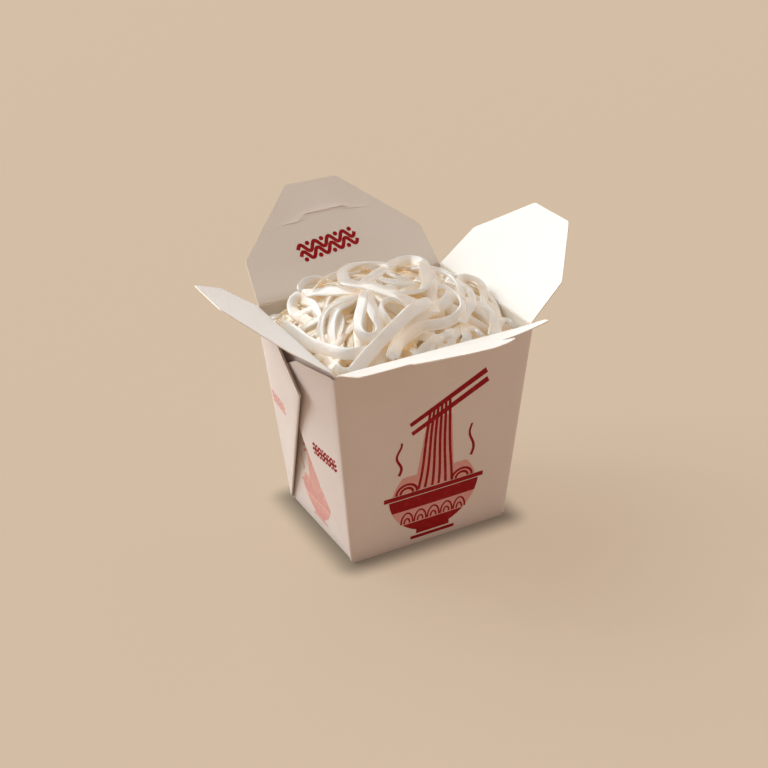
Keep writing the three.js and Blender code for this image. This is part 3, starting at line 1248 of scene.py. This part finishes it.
def draped(floor: np.ndarray, run: np.ndarray, radius: float) -> np.ndarray:
    """The lowest line over a floor that bends downwards no tighter than a radius."""
    fall = (run[:, None] - run[None, :]) ** 2 / (2 * radius)
    return np.max(floor[None, :] - fall, axis=1)


class Pile:
    """What has been laid so far, as heights over a fine grid in plan."""

    cell: float = 0.5
    look_round: float = 5.0
    shade_from: float = 1.0
    shade_over: float = 6.0

    def __init__(self, form: HeapForm, sizes: PailSizes, depth: float) -> None:
        """Start from the heap's surface, some way down."""
        self.form = form
        self.sizes = sizes
        self.count = [int((size / 2 + 4) / self.cell) for size in sizes.top]
        marks = [np.arange(-count, count + 1) * self.cell for count in self.count]
        x, y = np.meshgrid(*marks, indexing="ij")
        self.surface = form.height(x, y)
        self.height = self.surface - depth
        self.canopy = self.height

    def _cells(self, x: np.ndarray, y: np.ndarray) -> tuple[np.ndarray, np.ndarray]:
        """The cells that places fall in."""
        found = []
        for values, count in zip((x, y), self.count):
            found.append(np.clip(np.round(values / self.cell).astype(int) + count, 0, 2 * count))
        return found[0], found[1]

    def under(self, x: np.ndarray, y: np.ndarray) -> np.ndarray:
        """The height of the pile at some places."""
        return self.height[self._cells(x, y)]

    def cover(self) -> None:
        """Note how high the highest noodles stand round each place, once all of them are laid."""
        steps = round(self.look_round / self.cell)
        highest = self.height - self.surface
        for axis in (0, 1):
            shifted = [np.roll(highest, shift, axis) for shift in range(-steps, steps + 1)]
            highest = np.max(shifted, axis=0)
            highest = np.apply_along_axis(eased, axis, highest, steps / 2)
        self.canopy = self.surface + highest

    def shade(self, place: np.ndarray) -> float:
        """How deep a place lies between the noodles round it, from 0 on top to 1; the noodles' painted
        shade and glow follow it.
        """
        below = self.canopy[self._cells(place[0], place[1])] - place[2] - self.shade_from
        return float(min(max(below / self.shade_over, 0.0), 1.0))

    def room(self, x: float, y: float) -> float:
        """How far the pile still is below the heap's surface round a place."""
        offsets = np.array([(0, 0), (5, 0), (-5, 0), (0, 5), (0, -5), (3, 3), (-3, -3)], float)
        places = offsets + (x, y)
        surface = self.form.height(places[:, 0], places[:, 1])
        return float(np.mean(surface - self.under(places[:, 0], places[:, 1])))

    def _inside(self, values: np.ndarray, axis: int, level: np.ndarray, margin: np.ndarray) -> np.ndarray:
        """Places brought between two facing walls at some heights."""
        sizes = self.sizes
        share = level / sizes.height
        half = (sizes.base[axis] + (sizes.top[axis] - sizes.base[axis]) * share) / 2 - sizes.board
        return np.clip(values, margin - half, half - margin)

    def settle(self, strand: Strand) -> LaidStrand:
        """Find how a noodle comes to lie on the pile.

        Args:
            strand: The noodle.

        Returns:
            Where it lies.
        """
        places = [(*place, *(0.0,) * (3 - len(place))) for place in strand.route]
        line = smooth_line(places, strand.spacing)
        level = np.minimum(self.form.height(line[:, 0], line[:, 1]), self.sizes.height) - 4
        margin = np.full(len(line), strand.width / 2 + 0.2)
        x = eased(self._inside(line[:, 0], 0, level, margin), 1.0)
        y = eased(self._inside(line[:, 1], 1, level, margin), 1.0)
        run = np.concatenate([[0], np.cumsum(np.hypot(np.diff(x), np.diff(y)))])
        tangent = unit_rows(np.column_stack([np.gradient(x), np.gradient(y)]))
        across = np.column_stack([-tangent[:, 1], tangent[:, 0]])
        roll = self._rolled(strand, tangent)
        rise = np.hypot(strand.width / 2 * np.sin(roll), strand.thickness / 2 * np.cos(roll))
        flat = np.hypot(strand.width / 2 * np.cos(roll), strand.thickness / 2 * np.sin(roll))
        beds = []
        for share in (-0.8, -0.4, 0.0, 0.4, 0.8):
            offset = across * (flat * share)[:, None]
            beds.append(self.under(x + offset[:, 0], y + offset[:, 1]))
        held = line[:, 2]
        ceiling = np.where(held > 0, held + strand.play, self.form.height(x, y) + strand.top - rise)
        floor = np.maximum(np.max(beds, axis=0) + rise, held)
        z = self._rest(np.minimum(floor, ceiling), run, strand)
        for _ in range(2):
            floor = np.maximum(floor, self._over_itself(x, y, z, run, strand))
            z = self._rest(np.minimum(floor, ceiling), run, strand)
        tilt = (beds[-1] - beds[0]) / np.maximum(1.6 * flat, 0.5)
        tilt = eased(np.clip(np.arctan(tilt), -0.35, 0.35), 3.0) * np.cos(roll) ** 2
        return LaidStrand(strand, np.column_stack([x, y, z]), roll + 0.7 * tilt, floor - z)

    @staticmethod
    def _rolled(strand: Strand, tangent: np.ndarray) -> np.ndarray:
        """How far a noodle is rolled over in radians, which grows in its tighter bends."""
        heading = np.unwrap(np.arctan2(tangent[:, 1], tangent[:, 0]))
        bend = eased(np.gradient(heading) / strand.spacing, 2.5)
        share = np.clip((np.abs(bend) * 15 - 0.5) / 1.4, 0, 1) * np.sign(bend)
        return math.radians(strand.roll) + eased(share, 3.0) * math.radians(strand.bend_roll)

    @staticmethod
    def _rest(floor: np.ndarray, run: np.ndarray, strand: Strand) -> np.ndarray:
        """The smooth height of a noodle over a floor."""
        z = eased(draped(floor, run, strand.bend_radius), 3.4 / strand.spacing)
        return eased(np.maximum(z, floor - strand.sink), 2.4 / strand.spacing)

    @staticmethod
    def _over_itself(
        x: np.ndarray, y: np.ndarray, z: np.ndarray, run: np.ndarray, strand: Strand
    ) -> np.ndarray:
        """The height that a noodle needs where it crosses its own earlier part."""
        near = np.hypot(x[:, None] - x[None, :], y[:, None] - y[None, :]) < 0.85 * strand.width
        earlier = run[:, None] - run[None, :] > 2.2 * strand.width
        return np.max(np.where(near & earlier, z[None, :] + strand.thickness, 0.0), axis=1)

    def add(self, laid: LaidStrand) -> None:
        """Raise the pile under a noodle."""
        strand = laid.strand
        steps = np.arange(len(laid.line))
        fine = np.arange(0, len(laid.line) - 1, 0.3)
        x, y, z = (np.interp(fine, steps, laid.line[:, axis]) for axis in range(3))
        roll = np.interp(fine, steps, laid.roll)
        tangent = unit_rows(np.column_stack([np.gradient(x), np.gradient(y)]))
        half = strand.thickness / 2
        for reach in np.arange(-strand.width / 2 + 0.15, strand.width / 2, 0.35):
            edge = math.sqrt(max(0.0, 1 - (2 * reach / strand.width) ** 4))
            offset = reach * np.cos(roll) - half * edge * np.sin(roll)
            top = z + reach * np.sin(roll) + half * edge * np.cos(roll)
            cells = self._cells(x - tangent[:, 1] * offset, y + tangent[:, 0] * offset)
            np.maximum.at(self.height, cells, top)


@dataclass(frozen=True)
class Layer:
    """A layer of noodles: how many are tried, how long they are at most, and how high they may stand.

    Then come their widths, the fewest steps worth keeping, how far their ends dive, their
    thicknesses, and how far in degrees they roll over in their bends.
    """

    count: int
    longest: float
    top: float
    widths: Flat = (4.6, 6.0)
    shortest: int = 12
    dive: float = 2.2
    thicknesses: Flat = (1.6, 2.0)
    leans: Flat = (10.0, 45.0)


# The noodles that stand out on top, from the lowest: each one's width, its roll, how far it rolls over
# in its bends, and the places that it runs through.
STANDING_OUT: tuple[tuple[float, float, float, tuple[Triple, ...]], ...] = (
    # along the left wall, over the rim and down to the front corner
    (4.8, 0, 40, (
        (-42, -4, 104.5), (-43, -13, 103.5), (-44, -21, 101.8), (-43, -29, 99.8), (-40, -36, 97),
    )),
    (4.8, 10, 50, (
        (-39, -15, 104), (-42, -23, 102), (-43, -30, 100), (-40, -34, 100), (-36, -33, 102),
        (-32, -29, 103),
    )),
    (5.4, 0, 40, (
        (-46, 18, 98), (-45, 25, 102), (-42, 27, 104), (-40, 21, 106), (-39, 13, 107.2), (-38, 4, 107),
    )),
    (4.8, 0, 40, (
        (-30, 33, 107), (-34, 26, 110.5), (-33, 19, 112), (-34, 11, 112), (-36, 3, 110),
    )),
    # the two arches over the left shoulder, and the strand that crosses their feet
    (5.6, 0, 45, (
        (-43, -27, 97), (-39, -16, 104.5), (-36, -9, 109.8), (-32, -4, 113.8), (-28, -1, 116.6),
        (-23, 0, 118.2), (-17, 3, 118.3), (-11, 7, 117.3),
    )),
    (5.8, 0, 45, (
        (-45, -21, 98), (-42, -11, 103), (-40, -5, 107), (-36, 0, 111), (-32, 2, 114.8), (-27, 2, 117.5),
        (-21, 2, 118.6), (-14, 5, 118), (-8, 9, 117),
    )),
    (6.0, 0, 30, (
        (-45, 28, 99), (-46, 19, 102.6), (-46, 8, 104.4), (-46, -1, 104.4), (-45, -9, 104.7),
        (-43, -16, 105.4), (-40, -23, 106.2), (-35, -29, 106.9), (-28, -31, 107.2), (-20, -31, 106.4),
        (-12, -32, 104),
    )),
    # the arch on the far left, and what shows behind it
    (4.6, 0, 40, (
        (-28, 28, 111), (-22, 31, 114.5), (-16, 32, 117.5), (-10, 31, 119), (-3, 32, 118.5), (5, 34, 116),
    )),
    (4.4, 62, -30, (
        (-33, 29, 109), (-32, 32, 113), (-28, 34, 116.5), (-24, 34, 117), (-20, 31, 115), (-18, 26, 113),
    )),
    (5.6, 0, -55, (
        (-38, 10, 103), (-40, 17, 107), (-40, 24, 108.2), (-37, 29, 109.6), (-33, 29, 111.8),
        (-29, 23, 114.6), (-25, 15, 117.8), (-20, 8, 119.4), (-14, 4, 118.8), (-7, 1, 117.4),
    )),
    # the strand that falls from the top, turns below the middle and climbs back
    (5.4, 0, 45, (
        (-4, 11, 118.4), (-8, 6, 119.6), (-12, 2, 120.5), (-16, -3, 121), (-20, -9, 119.7), (-25, -15, 116),
        (-28, -20, 113), (-28, -25, 111), (-25, -28, 110.5), (-21, -27, 111.5), (-19, -23, 114.4),
        (-18, -16, 118), (-16, -8, 119.8), (-12, -1, 119), (-8, 6, 117.5),
    )),
    (4.6, 40, 35, (
        (-1, -22, 114), (-3, -17, 118), (-8, -12, 120.6), (-13, -14, 119.8), (-15, -18, 117.2),
        (-15, -23, 113.2), (-13, -28, 109),
    )),
    # the front of the heap
    (4.8, 0, 40, (
        (-8, -26, 112), (-13, -30, 109.6), (-18, -34, 105.8), (-22, -38, 101),
    )),
    (5.0, 0, 40, (
        (-18, -33, 104), (-11, -31, 108.6), (-5, -30, 109.2), (1, -32, 107), (7, -36, 103),
    )),
    (5.2, 10, 40, (
        (-10, -39, 99), (-4, -36, 102.8), (4, -34, 105.5), (11, -34, 106), (14, -32, 107), (10, -30, 108),
    )),
    (5.0, 0, 50, (
        (11, -36, 103), (16, -33, 107), (21, -32, 107.6), (25, -34, 105), (25, -39, 100),
    )),
    (5.4, 0, 45, (
        (12, 0, 121), (18, -7, 120.4), (23, -14, 118.6), (25, -20, 116.2), (23, -26, 112.8), (17, -29, 111),
        (9, -30, 110.9), (1, -29, 111.6), (-6, -30, 110.9), (-12, -32, 108.6), (-18, -35, 104),
    )),
    (5.8, 0, 30, (
        (-20, -38, 101), (-14, -32, 108.5), (-8, -28, 112), (0, -25.5, 114.6), (8, -24, 115.8),
        (15, -22, 116.5), (21, -18, 117.2), (25, -12, 117.8),
    )),
    # the right shoulder
    (5.0, 0, 40, (
        (29, 17, 116), (25, 8, 120), (20, -3, 121), (15, -12, 120.2), (10, -20, 117.2), (8, -27, 113.5),
    )),
    (5.0, 0, 40, (
        (18, 14, 120), (24, 9, 120.6), (29, 3, 119.5), (31, -4, 118.6), (30, -12, 117), (26, -19, 115.2),
    )),
    (5.0, 20, 40, (
        (46, 10, 109), (47, 1, 110.5), (48, -8, 108.4), (46, -17, 105.6), (42, -26, 103),
    )),
    (5.2, 0, -45, (
        (29, -13, 115), (33, -6, 115), (38, 1, 114.4), (43, 2, 114), (46, -3, 112.5), (44, -10, 111),
        (40, -17, 109.6), (37, -24, 107.5),
    )),
    (4.6, 30, 45, (
        (27, -3, 118.8), (31, -9, 117.4), (34, -14, 115), (32, -19, 113.6), (28, -24, 112.8),
        (23, -28, 111), (19, -32, 107),
    )),
    (4.6, 35, 45, (
        (29, -15, 111.5), (33, -21, 111.4), (37, -24, 109.8), (38, -29, 106.8), (35, -34, 103.6),
        (31, -38, 100),
    )),
    (5.0, 0, 40, (
        (35, -38, 99), (37, -33, 103.4), (41, -29, 104.8), (45, -28, 103), (48, -33, 98),
    )),
    # the arch at the back, the loop on the very top, and the long strand that lies over them all
    (5.8, 10, -45, (
        (10, 16, 121.5), (7, 24, 121.4), (1, 28, 121.8), (-6, 29, 121.6), (-12, 26, 121.4),
        (-16, 18, 121.7), (-17, 12, 122), (-15, 7, 122.5), (-11, 2, 122.8), (-8, -4, 122.8), (-5, -10, 122),
        (-2, -16, 120.2), (2, -22, 117.2),
    )),
    (5.8, 8, -55, (
        (-13, 1, 119.2), (-11, 6, 120.8), (-8, 9, 121.6), (-3, 12, 121.6), (5, 17, 121.2), (13, 22, 120.4),
        (21, 23, 119.9), (25, 17, 120.2), (22, 7, 121.4), (17, -4, 122), (11, -12, 121.8), (5, -14, 121.3),
        (0, -12, 121.8), (-4, -7, 121.4), (-7, 0, 120), (-9, 6, 118.4),
    )),
    (6.2, 8, 10, (
        (9, -21, 119.2), (3, -22, 119), (-4, -24, 117.6), (-12, -27, 114.7), (-20, -30, 111.2),
        (-28, -32.5, 107.4), (-35, -35, 103.6), (-41, -38, 98),
    )),
)


@dataclass
class NoodleHeap:
    """The noodles: a body that fills the pail, the strands of the heap and those that lie on top."""

    sizes: PailSizes
    palette: Palette
    form: HeapForm = HeapForm()
    spread: Flat = (46.0, 38.0)
    depth: float = 7.5
    seed: int = 11
    layers: tuple[Layer, ...] = (Layer(110, 140, -3.0), Layer(110, 70, -2.0, (4.0, 5.2), 9))
    cover: Layer = Layer(60, 110, 0.0)
    tries: int = 3
    press: float = 1.3

    def _steered(self, chance: random.Random, pile: Pile, longest: float) -> list[Flat]:
        """Wander over the heap in smooth bends, drawn to where it is still low.

        Args:
            chance: The source of chance.
            pile: What has been laid so far.
            longest: How long the noodle is at most.

        Returns:
            The places that it runs through.
        """
        step, look, tightest = 4.0, 7.0, 1 / 7.0
        wide, deep = self.spread
        starts = [(chance.uniform(-wide, wide), chance.uniform(-deep, deep)) for _ in range(10)]
        x, y = max(starts, key=lambda place: pile.room(*place))
        heading = chance.uniform(0, 2 * math.pi)
        turn = chance.gauss(0, 0.04)
        places = [(x, y)]
        for _ in range(int(chance.uniform(0.55, 1.0) * longest / step)):
            best = (-math.inf, turn)
            for change in (-0.035, -0.015, 0.0, 0.015, 0.035):
                option = max(-tightest, min(tightest, turn + change))
                ahead = heading + option * look * 0.6
                far_x, far_y = x + look * math.cos(ahead), y + look * math.sin(ahead)
                outside = max(0.0, abs(far_x) - (wide - 1)) + max(0.0, abs(far_y) - (deep - 1))
                score = pile.room(far_x, far_y) - 2.5 * outside + chance.gauss(0, 0.9)
                best = max(best, (score, option))
            turn = best[1]
            heading += turn * step
            x += step * math.cos(heading)
            y += step * math.sin(heading)
            places.append((x, y))
        return places

    def _fill(self, chance: random.Random, pile: Pile, layer: Layer) -> list[LaidStrand]:
        """Lay noodles where there is room for them.

        Args:
            chance: The source of chance.
            pile: What they are laid on.
            layer: What the layer of noodles is like.

        Returns:
            Those that found a place.
        """
        laid = []
        for _ in range(layer.count):
            width = chance.uniform(*layer.widths)
            thickness = chance.uniform(*layer.thicknesses)
            lean = chance.choice((-1, 1)) * chance.uniform(*layer.leans)
            options = []
            for _ in range(self.tries):
                route = self._steered(chance, pile, layer.longest)
                strand = Strand(route, width, thickness, chance.gauss(0, 8), lean, sides=10, spacing=1.7)
                strand.top, strand.dive = layer.top, layer.dive
                option = pile.settle(strand)
                kept = option.part(option.pressed < self.press)
                if len(kept.line) > layer.shortest:
                    options.append(kept)
            if options:
                best = max(options, key=lambda kept: len(kept.line) - 12 * float(np.mean(kept.pressed)))
                pile.add(best)
                laid.append(best)
        return laid

    def strands(self) -> tuple[Pile, list[LaidStrand], list[LaidStrand]]:
        """Lay every noodle, from the lowest to those on top.

        Returns:
            The pile that they make, the strands inside it, and those on top of it.
        """
        chance = random.Random(self.seed)
        pile = Pile(self.form, self.sizes, self.depth)
        low = [laid for layer in self.layers for laid in self._fill(chance, pile, layer)]
        high = self._fill(chance, pile, self.cover)
        for width, roll, bend_roll, places in STANDING_OUT:
            strand = Strand(places, width, 1.8, roll, bend_roll, bend_radius=6.0, sink=0.9)
            strand.sides, strand.spacing = 16, 1.2
            laid = pile.settle(strand)
            pile.add(laid)
            high.append(laid)
        log.info("%d strands in the heap, %d on top", len(low), len(high))
        pile.cover()
        return pile, low, high

    def _bundle(self, pile: Pile, strands: Sequence[LaidStrand], name: str) -> Piece:
        """Make one piece of several noodles."""
        bm = bmesh.new()
        bm.verts.layers.float.new("depth")
        for strand in strands:
            strand.add_to(bm, pile)
        return finish_piece(bm, name, "pail", [self.palette.noodle.material()])

    def body(self) -> Piece:
        """Make the body that fills the pail below the strands; its dark warm finish is painted shade for
        the gaps between them.
        """
        sizes, foot, gap = self.sizes, 40.0, 1.2
        bm = bmesh.new()
        made = bmesh.ops.create_grid(bm, x_segments=30, y_segments=26, size=1.0)
        for vert in made["verts"]:
            vert.co = Vector(
                (vert.co.x * (sizes.half(0, foot) - gap), vert.co.y * (sizes.half(1, foot) - gap), foot)
            )
        raised = bmesh.ops.extrude_face_region(bm, geom=bm.faces[:])
        for vert in [part for part in raised["geom"] if isinstance(part, bmesh.types.BMVert)]:
            x, y = (
                vert.co[axis] * (sizes.half(axis, self.form.level) - gap) / (sizes.half(axis, foot) - gap)
                for axis in (0, 1)
            )
            vert.co = Vector((x, y, float(self.form.height(x, y)) - self.depth + 0.8))
        bmesh.ops.recalc_face_normals(bm, faces=bm.faces[:])
        return finish_piece(bm, "noodle_body", "pail", [self.palette.heap.material()], ["noodles"])

    def build(self) -> None:
        """Make the body and the strands."""
        self.body()
        pile, low, high = self.strands()
        self._bundle(pile, low, "noodles_heap")
        self._bundle(pile, high, "noodles_top")


# ---------------------------------------------------------------- the whole pail


@dataclass
class TakeawayPail:
    """The pail of board: shell, webs, flaps and prints."""

    sizes: PailSizes
    palette: Palette

    def flaps(self) -> dict[Side, Flap]:
        """The four flaps, each with its own finish inside, lean, outline and bend."""
        palette = self.palette
        wide, deep = (size / 2 - 0.7 for size in self.sizes.top)
        side_outline = ((deep, 0), (39, 24), (14.5, 50.3))
        back_outline = ((wide, 0), (48, 22.7), (14, 57.75))
        front_outline = ((wide, 0), (48, 20), (20, 22), (25.5, 27), (17, 34), (6, 40))
        worn_outline = ((wide, 0), (48, 20), (25, 22.5), (24.5, 27), (17, 34), (6, 40))
        slit = ((-25.5, 37.0), (-15, 37.2), (-11, 40.6), (11, 40.8), (15, 38.6), (25, 37.6))

        def root(v: float) -> float:
            """How freely the board bends so far from its crease, as a share."""
            return min(1.0, max(v, 0.0) / 14)

        def back_bend(u: float, v: float) -> float:
            """A faint twist."""
            return root(v) * 0.22 * math.sin(0.06 * u + 0.05 * v)

        def front_bend(u: float, v: float) -> float:
            """A ripple along the crease, and a wing that lifts at one end."""
            wing = max(0.0, -u - 20) ** 2 * 0.0027
            ripple = 0.35 * math.sin(0.105 * u + 0.4)
            return root(v) * (wing + ripple)

        def side_bend(u: float, v: float) -> float:
            """A faint curl towards the tip, and a hollow along the middle."""
            return root(v) * (0.0003 * max(0.0, v - 8) ** 2 - 0.4 * math.cos(0.05 * u))

        # Each flap but the right one wears a copy of the inside board with its own painted light or shade.
        shapes = {
            Side.BACK: (palette.painted_warm_bounce, 44, back_outline, back_bend, slit),
            Side.LEFT: (palette.clean, 37, side_outline, side_bend),
            Side.FRONT: (palette.painted_shade, 22, front_outline, front_bend, (), 1.8, worn_outline),
            Side.RIGHT: (palette.inside, 41, side_outline, side_bend),
        }
        return {side: Flap(self.sizes, palette, side, *shape) for side, shape in shapes.items()}

    def build(self) -> None:
        """Make every piece of board and every print."""
        PailShell(self.sizes, self.palette).build()
        flaps = self.flaps()
        for flap in flaps.values():
            flap.build()
        palette = self.palette
        for side, place in ((-1, "left"), (1, "right")):
            front = FoldedWeb(self.sizes, palette, side, -1, WebLie(0.115, 1 / 64**2))
            back = FoldedWeb(self.sizes, palette, side, 1, WebLie(0.124, 0.0))
            prints = ((front, "front", 15.5, 54.5, palette.red), (back, "back", 13.0, 61.0, palette.pink))
            for web, end, reach, up, ink in prints:
                web.build()
                face = web.face
                across = reach if face.across.dot(web.across) > 0 else -reach
                ornament = WavePrint(20.0, 6.4, 4, 1.2)
                ornament.build(f"print_web_{place}_{end}", "pail", face, (across, up), 0.0, ink)
        bowl = BowlPrint()
        bowl.build("print_front", self.sizes.wall(Side.FRONT), (1.0, 0.5), 1.0, (palette.pink, palette.red))
        faded = (palette.faded, palette.pink)
        for side in (Side.LEFT, Side.RIGHT):
            bowl.build(f"print_{side.body_name}", self.sizes.wall(side), (0.0, 4.0), 0.6, faded)
        WavePrint(32.0, 9.5, 4, 1.9).build(
            "print_back_flap", "flap_back", self._skin(flaps[Side.BACK]), (-4.0, 22.5), 6.0, palette.red
        )

    @staticmethod
    def _skin(flap: Flap) -> Face:
        """The shown surface of a flap's inner side."""
        face = flap.face
        return Face(face.origin + face.normal * flap.crease, face.across, face.up, face.bend)


# ---------------------------------------------------------------- studio


@dataclass(frozen=True)
class FarLight:
    """A light so far off that it falls evenly, and as wide as its spread in degrees."""

    name: str
    towards: Flat
    spread: float
    strength: float
    colour: Rgb

    def hang(self) -> None:
        """Add the light to the scene, at its compass angle and its height in degrees."""
        compass, height = (math.radians(angle) for angle in self.towards)
        level = math.cos(height)
        place = Vector((math.cos(compass) * level, math.sin(compass) * level, math.sin(height)))
        data = bpy.data.lights.new(self.name, "SUN")
        data.angle = math.radians(self.spread)
        data.energy = self.strength
        data.color = self.colour
        lamp = bpy.data.objects.new(self.name, data)
        lamp.location = place
        lamp.rotation_euler = (-place).to_track_quat("-Z", "Y").to_euler()
        bpy.context.scene.collection.objects.link(lamp)


@dataclass(frozen=True)
class RoomGlow:
    """The even light of the room."""

    strength: float = 0.37
    colour: Rgb = (1.0, 0.66, 0.51)

    def fill(self) -> None:
        """Light the scene with it."""
        world = bpy.data.worlds.new("room")
        world.use_nodes = True
        background = world.node_tree.nodes["Background"]
        background.inputs["Color"].default_value = (*self.colour, 1)
        background.inputs["Strength"].default_value = self.strength
        bpy.context.scene.world = world


@dataclass(frozen=True)
class GlowingFloor:
    """A pale table top with a faint light of its own, as over a light table, which keeps shadows faint.

    The light fades close round the object's foot, a painted contact shadow.
    """

    foot: Flat
    colour: Rgb = (0.11, 0.094, 0.069)
    glow: Rgb = (0.490, 0.372, 0.272)
    fade: float = 15.0
    darkest: float = 0.25
    reach: float = 16.0
    drop: float = 0.3

    def _beyond_foot(self, nodes: Nodes) -> Socket:
        """How far a place lies outside the foot, as a share of the fade."""
        place = nodes.add("ShaderNodeTexCoord")
        parts = nodes.add("ShaderNodeSeparateXYZ")
        nodes.join(place.outputs["Object"], parts.inputs["Vector"])
        apart = nodes.add("ShaderNodeCombineXYZ")
        for axis, size in zip("XY", self.foot):
            distance = nodes.calculate("ABSOLUTE", parts.outputs[axis])
            outside = nodes.calculate("SUBTRACT", distance, size / 2 * MM)
            nodes.join(nodes.calculate("MAXIMUM", outside, 0.0), apart.inputs[axis])
        length = nodes.add("ShaderNodeVectorMath", operation="LENGTH")
        nodes.join(apart.outputs["Vector"], length.inputs[0])
        return nodes.calculate("DIVIDE", length.outputs["Value"], self.fade * MM)

    def lay(self) -> None:
        """Lay the table top under the object."""
        bm = bmesh.new()
        bmesh.ops.create_grid(bm, x_segments=1, y_segments=1, size=self.reach / 2)
        mesh = bpy.data.meshes.new("floor")
        bm.to_mesh(mesh)
        bm.free()
        nodes = Nodes("pale floor")
        shader = nodes.shader.inputs
        shader["Base Color"].default_value = (*self.colour, 1)
        shader["Roughness"].default_value = 0.9
        shader["Specular IOR Level"].default_value = 0.1
        shader["Emission Color"].default_value = (*self.glow, 1)
        # Painted contact shadow: the floor's glow dims towards the object's foot.
        light = nodes.add("ShaderNodeMapRange", interpolation_type="SMOOTHSTEP")
        light.inputs["To Min"].default_value = self.darkest
        nodes.join(self._beyond_foot(nodes), light.inputs["Value"])
        nodes.join(light.outputs["Result"], shader["Emission Strength"])
        mesh.materials.append(nodes.material)
        floor = bpy.data.objects.new("floor", mesh)
        floor.location.z = -self.drop * MM
        bpy.context.scene.collection.objects.link(floor)


@dataclass
class Studio:
    """The camera, the pale floor and the soft lights."""

    azimuth: float = -28.02
    elevation: float = 29.20
    turn: float = -1.257
    distance: float = 713.5
    target: Triple = (0.0, 0.0, 53.0)
    focal_pixels: float = 1467.9
    image: int = 768
    shift_pixels: Flat = (10.34, 29.92)
    sensor: float = 36.0
    lights: tuple[FarLight, ...] = (
        FarLight("key light", (126, 43), 70, 4.3, (0.88, 0.97, 1.0)),
        FarLight("fill light", (0, 30), 80, 0.85, (0.93, 0.97, 1.0)),
        FarLight("glint light", (134, 46), 3, 0.3, (1.0, 1.0, 1.0)),
    )
    room: RoomGlow = RoomGlow()
    table: GlowingFloor = GlowingFloor(PailSizes().base)

    def camera(self) -> None:
        """Stand the camera at the object's viewing angle."""
        swing, rise, turn = (math.radians(angle) for angle in (self.azimuth, self.elevation, self.turn))
        back = Vector((math.sin(swing) * math.cos(rise), -math.cos(swing) * math.cos(rise), math.sin(rise)))
        right = Vector((math.cos(swing), math.sin(swing), 0))
        up = back.cross(right)
        x_axis = right * math.cos(turn) + up * math.sin(turn)
        y_axis = up * math.cos(turn) - right * math.sin(turn)
        place = (Vector(self.target) + back * self.distance) * MM
        data = bpy.data.cameras.new("camera")
        data.sensor_width = self.sensor
        data.lens = self.focal_pixels / self.image * self.sensor
        data.shift_x = -self.shift_pixels[0] / self.image
        data.shift_y = self.shift_pixels[1] / self.image
        data.clip_end = 50
        camera = bpy.data.objects.new("camera", data)
        turned = Matrix((x_axis, y_axis, back)).transposed().to_4x4()
        camera.matrix_world = Matrix.Translation(place) @ turned
        bpy.context.scene.collection.objects.link(camera)
        bpy.context.scene.camera = camera

    def build(self) -> None:
        """Set the studio up."""
        self.camera()
        self.table.lay()
        for light in self.lights:
            light.hang()
        self.room.fill()
        bpy.context.scene.view_settings.view_transform = "Standard"


def main() -> None:
    """Build the studio, the pail and its noodles."""
    logging.basicConfig(level=logging.INFO, format="%(name)s: %(message)s")
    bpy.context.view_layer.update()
    sizes = PailSizes()
    palette = Palette()
    Studio().build()
    TakeawayPail(sizes, palette).build()
    NoodleHeap(sizes, palette).build()


if __name__ == "__main__":
    main()
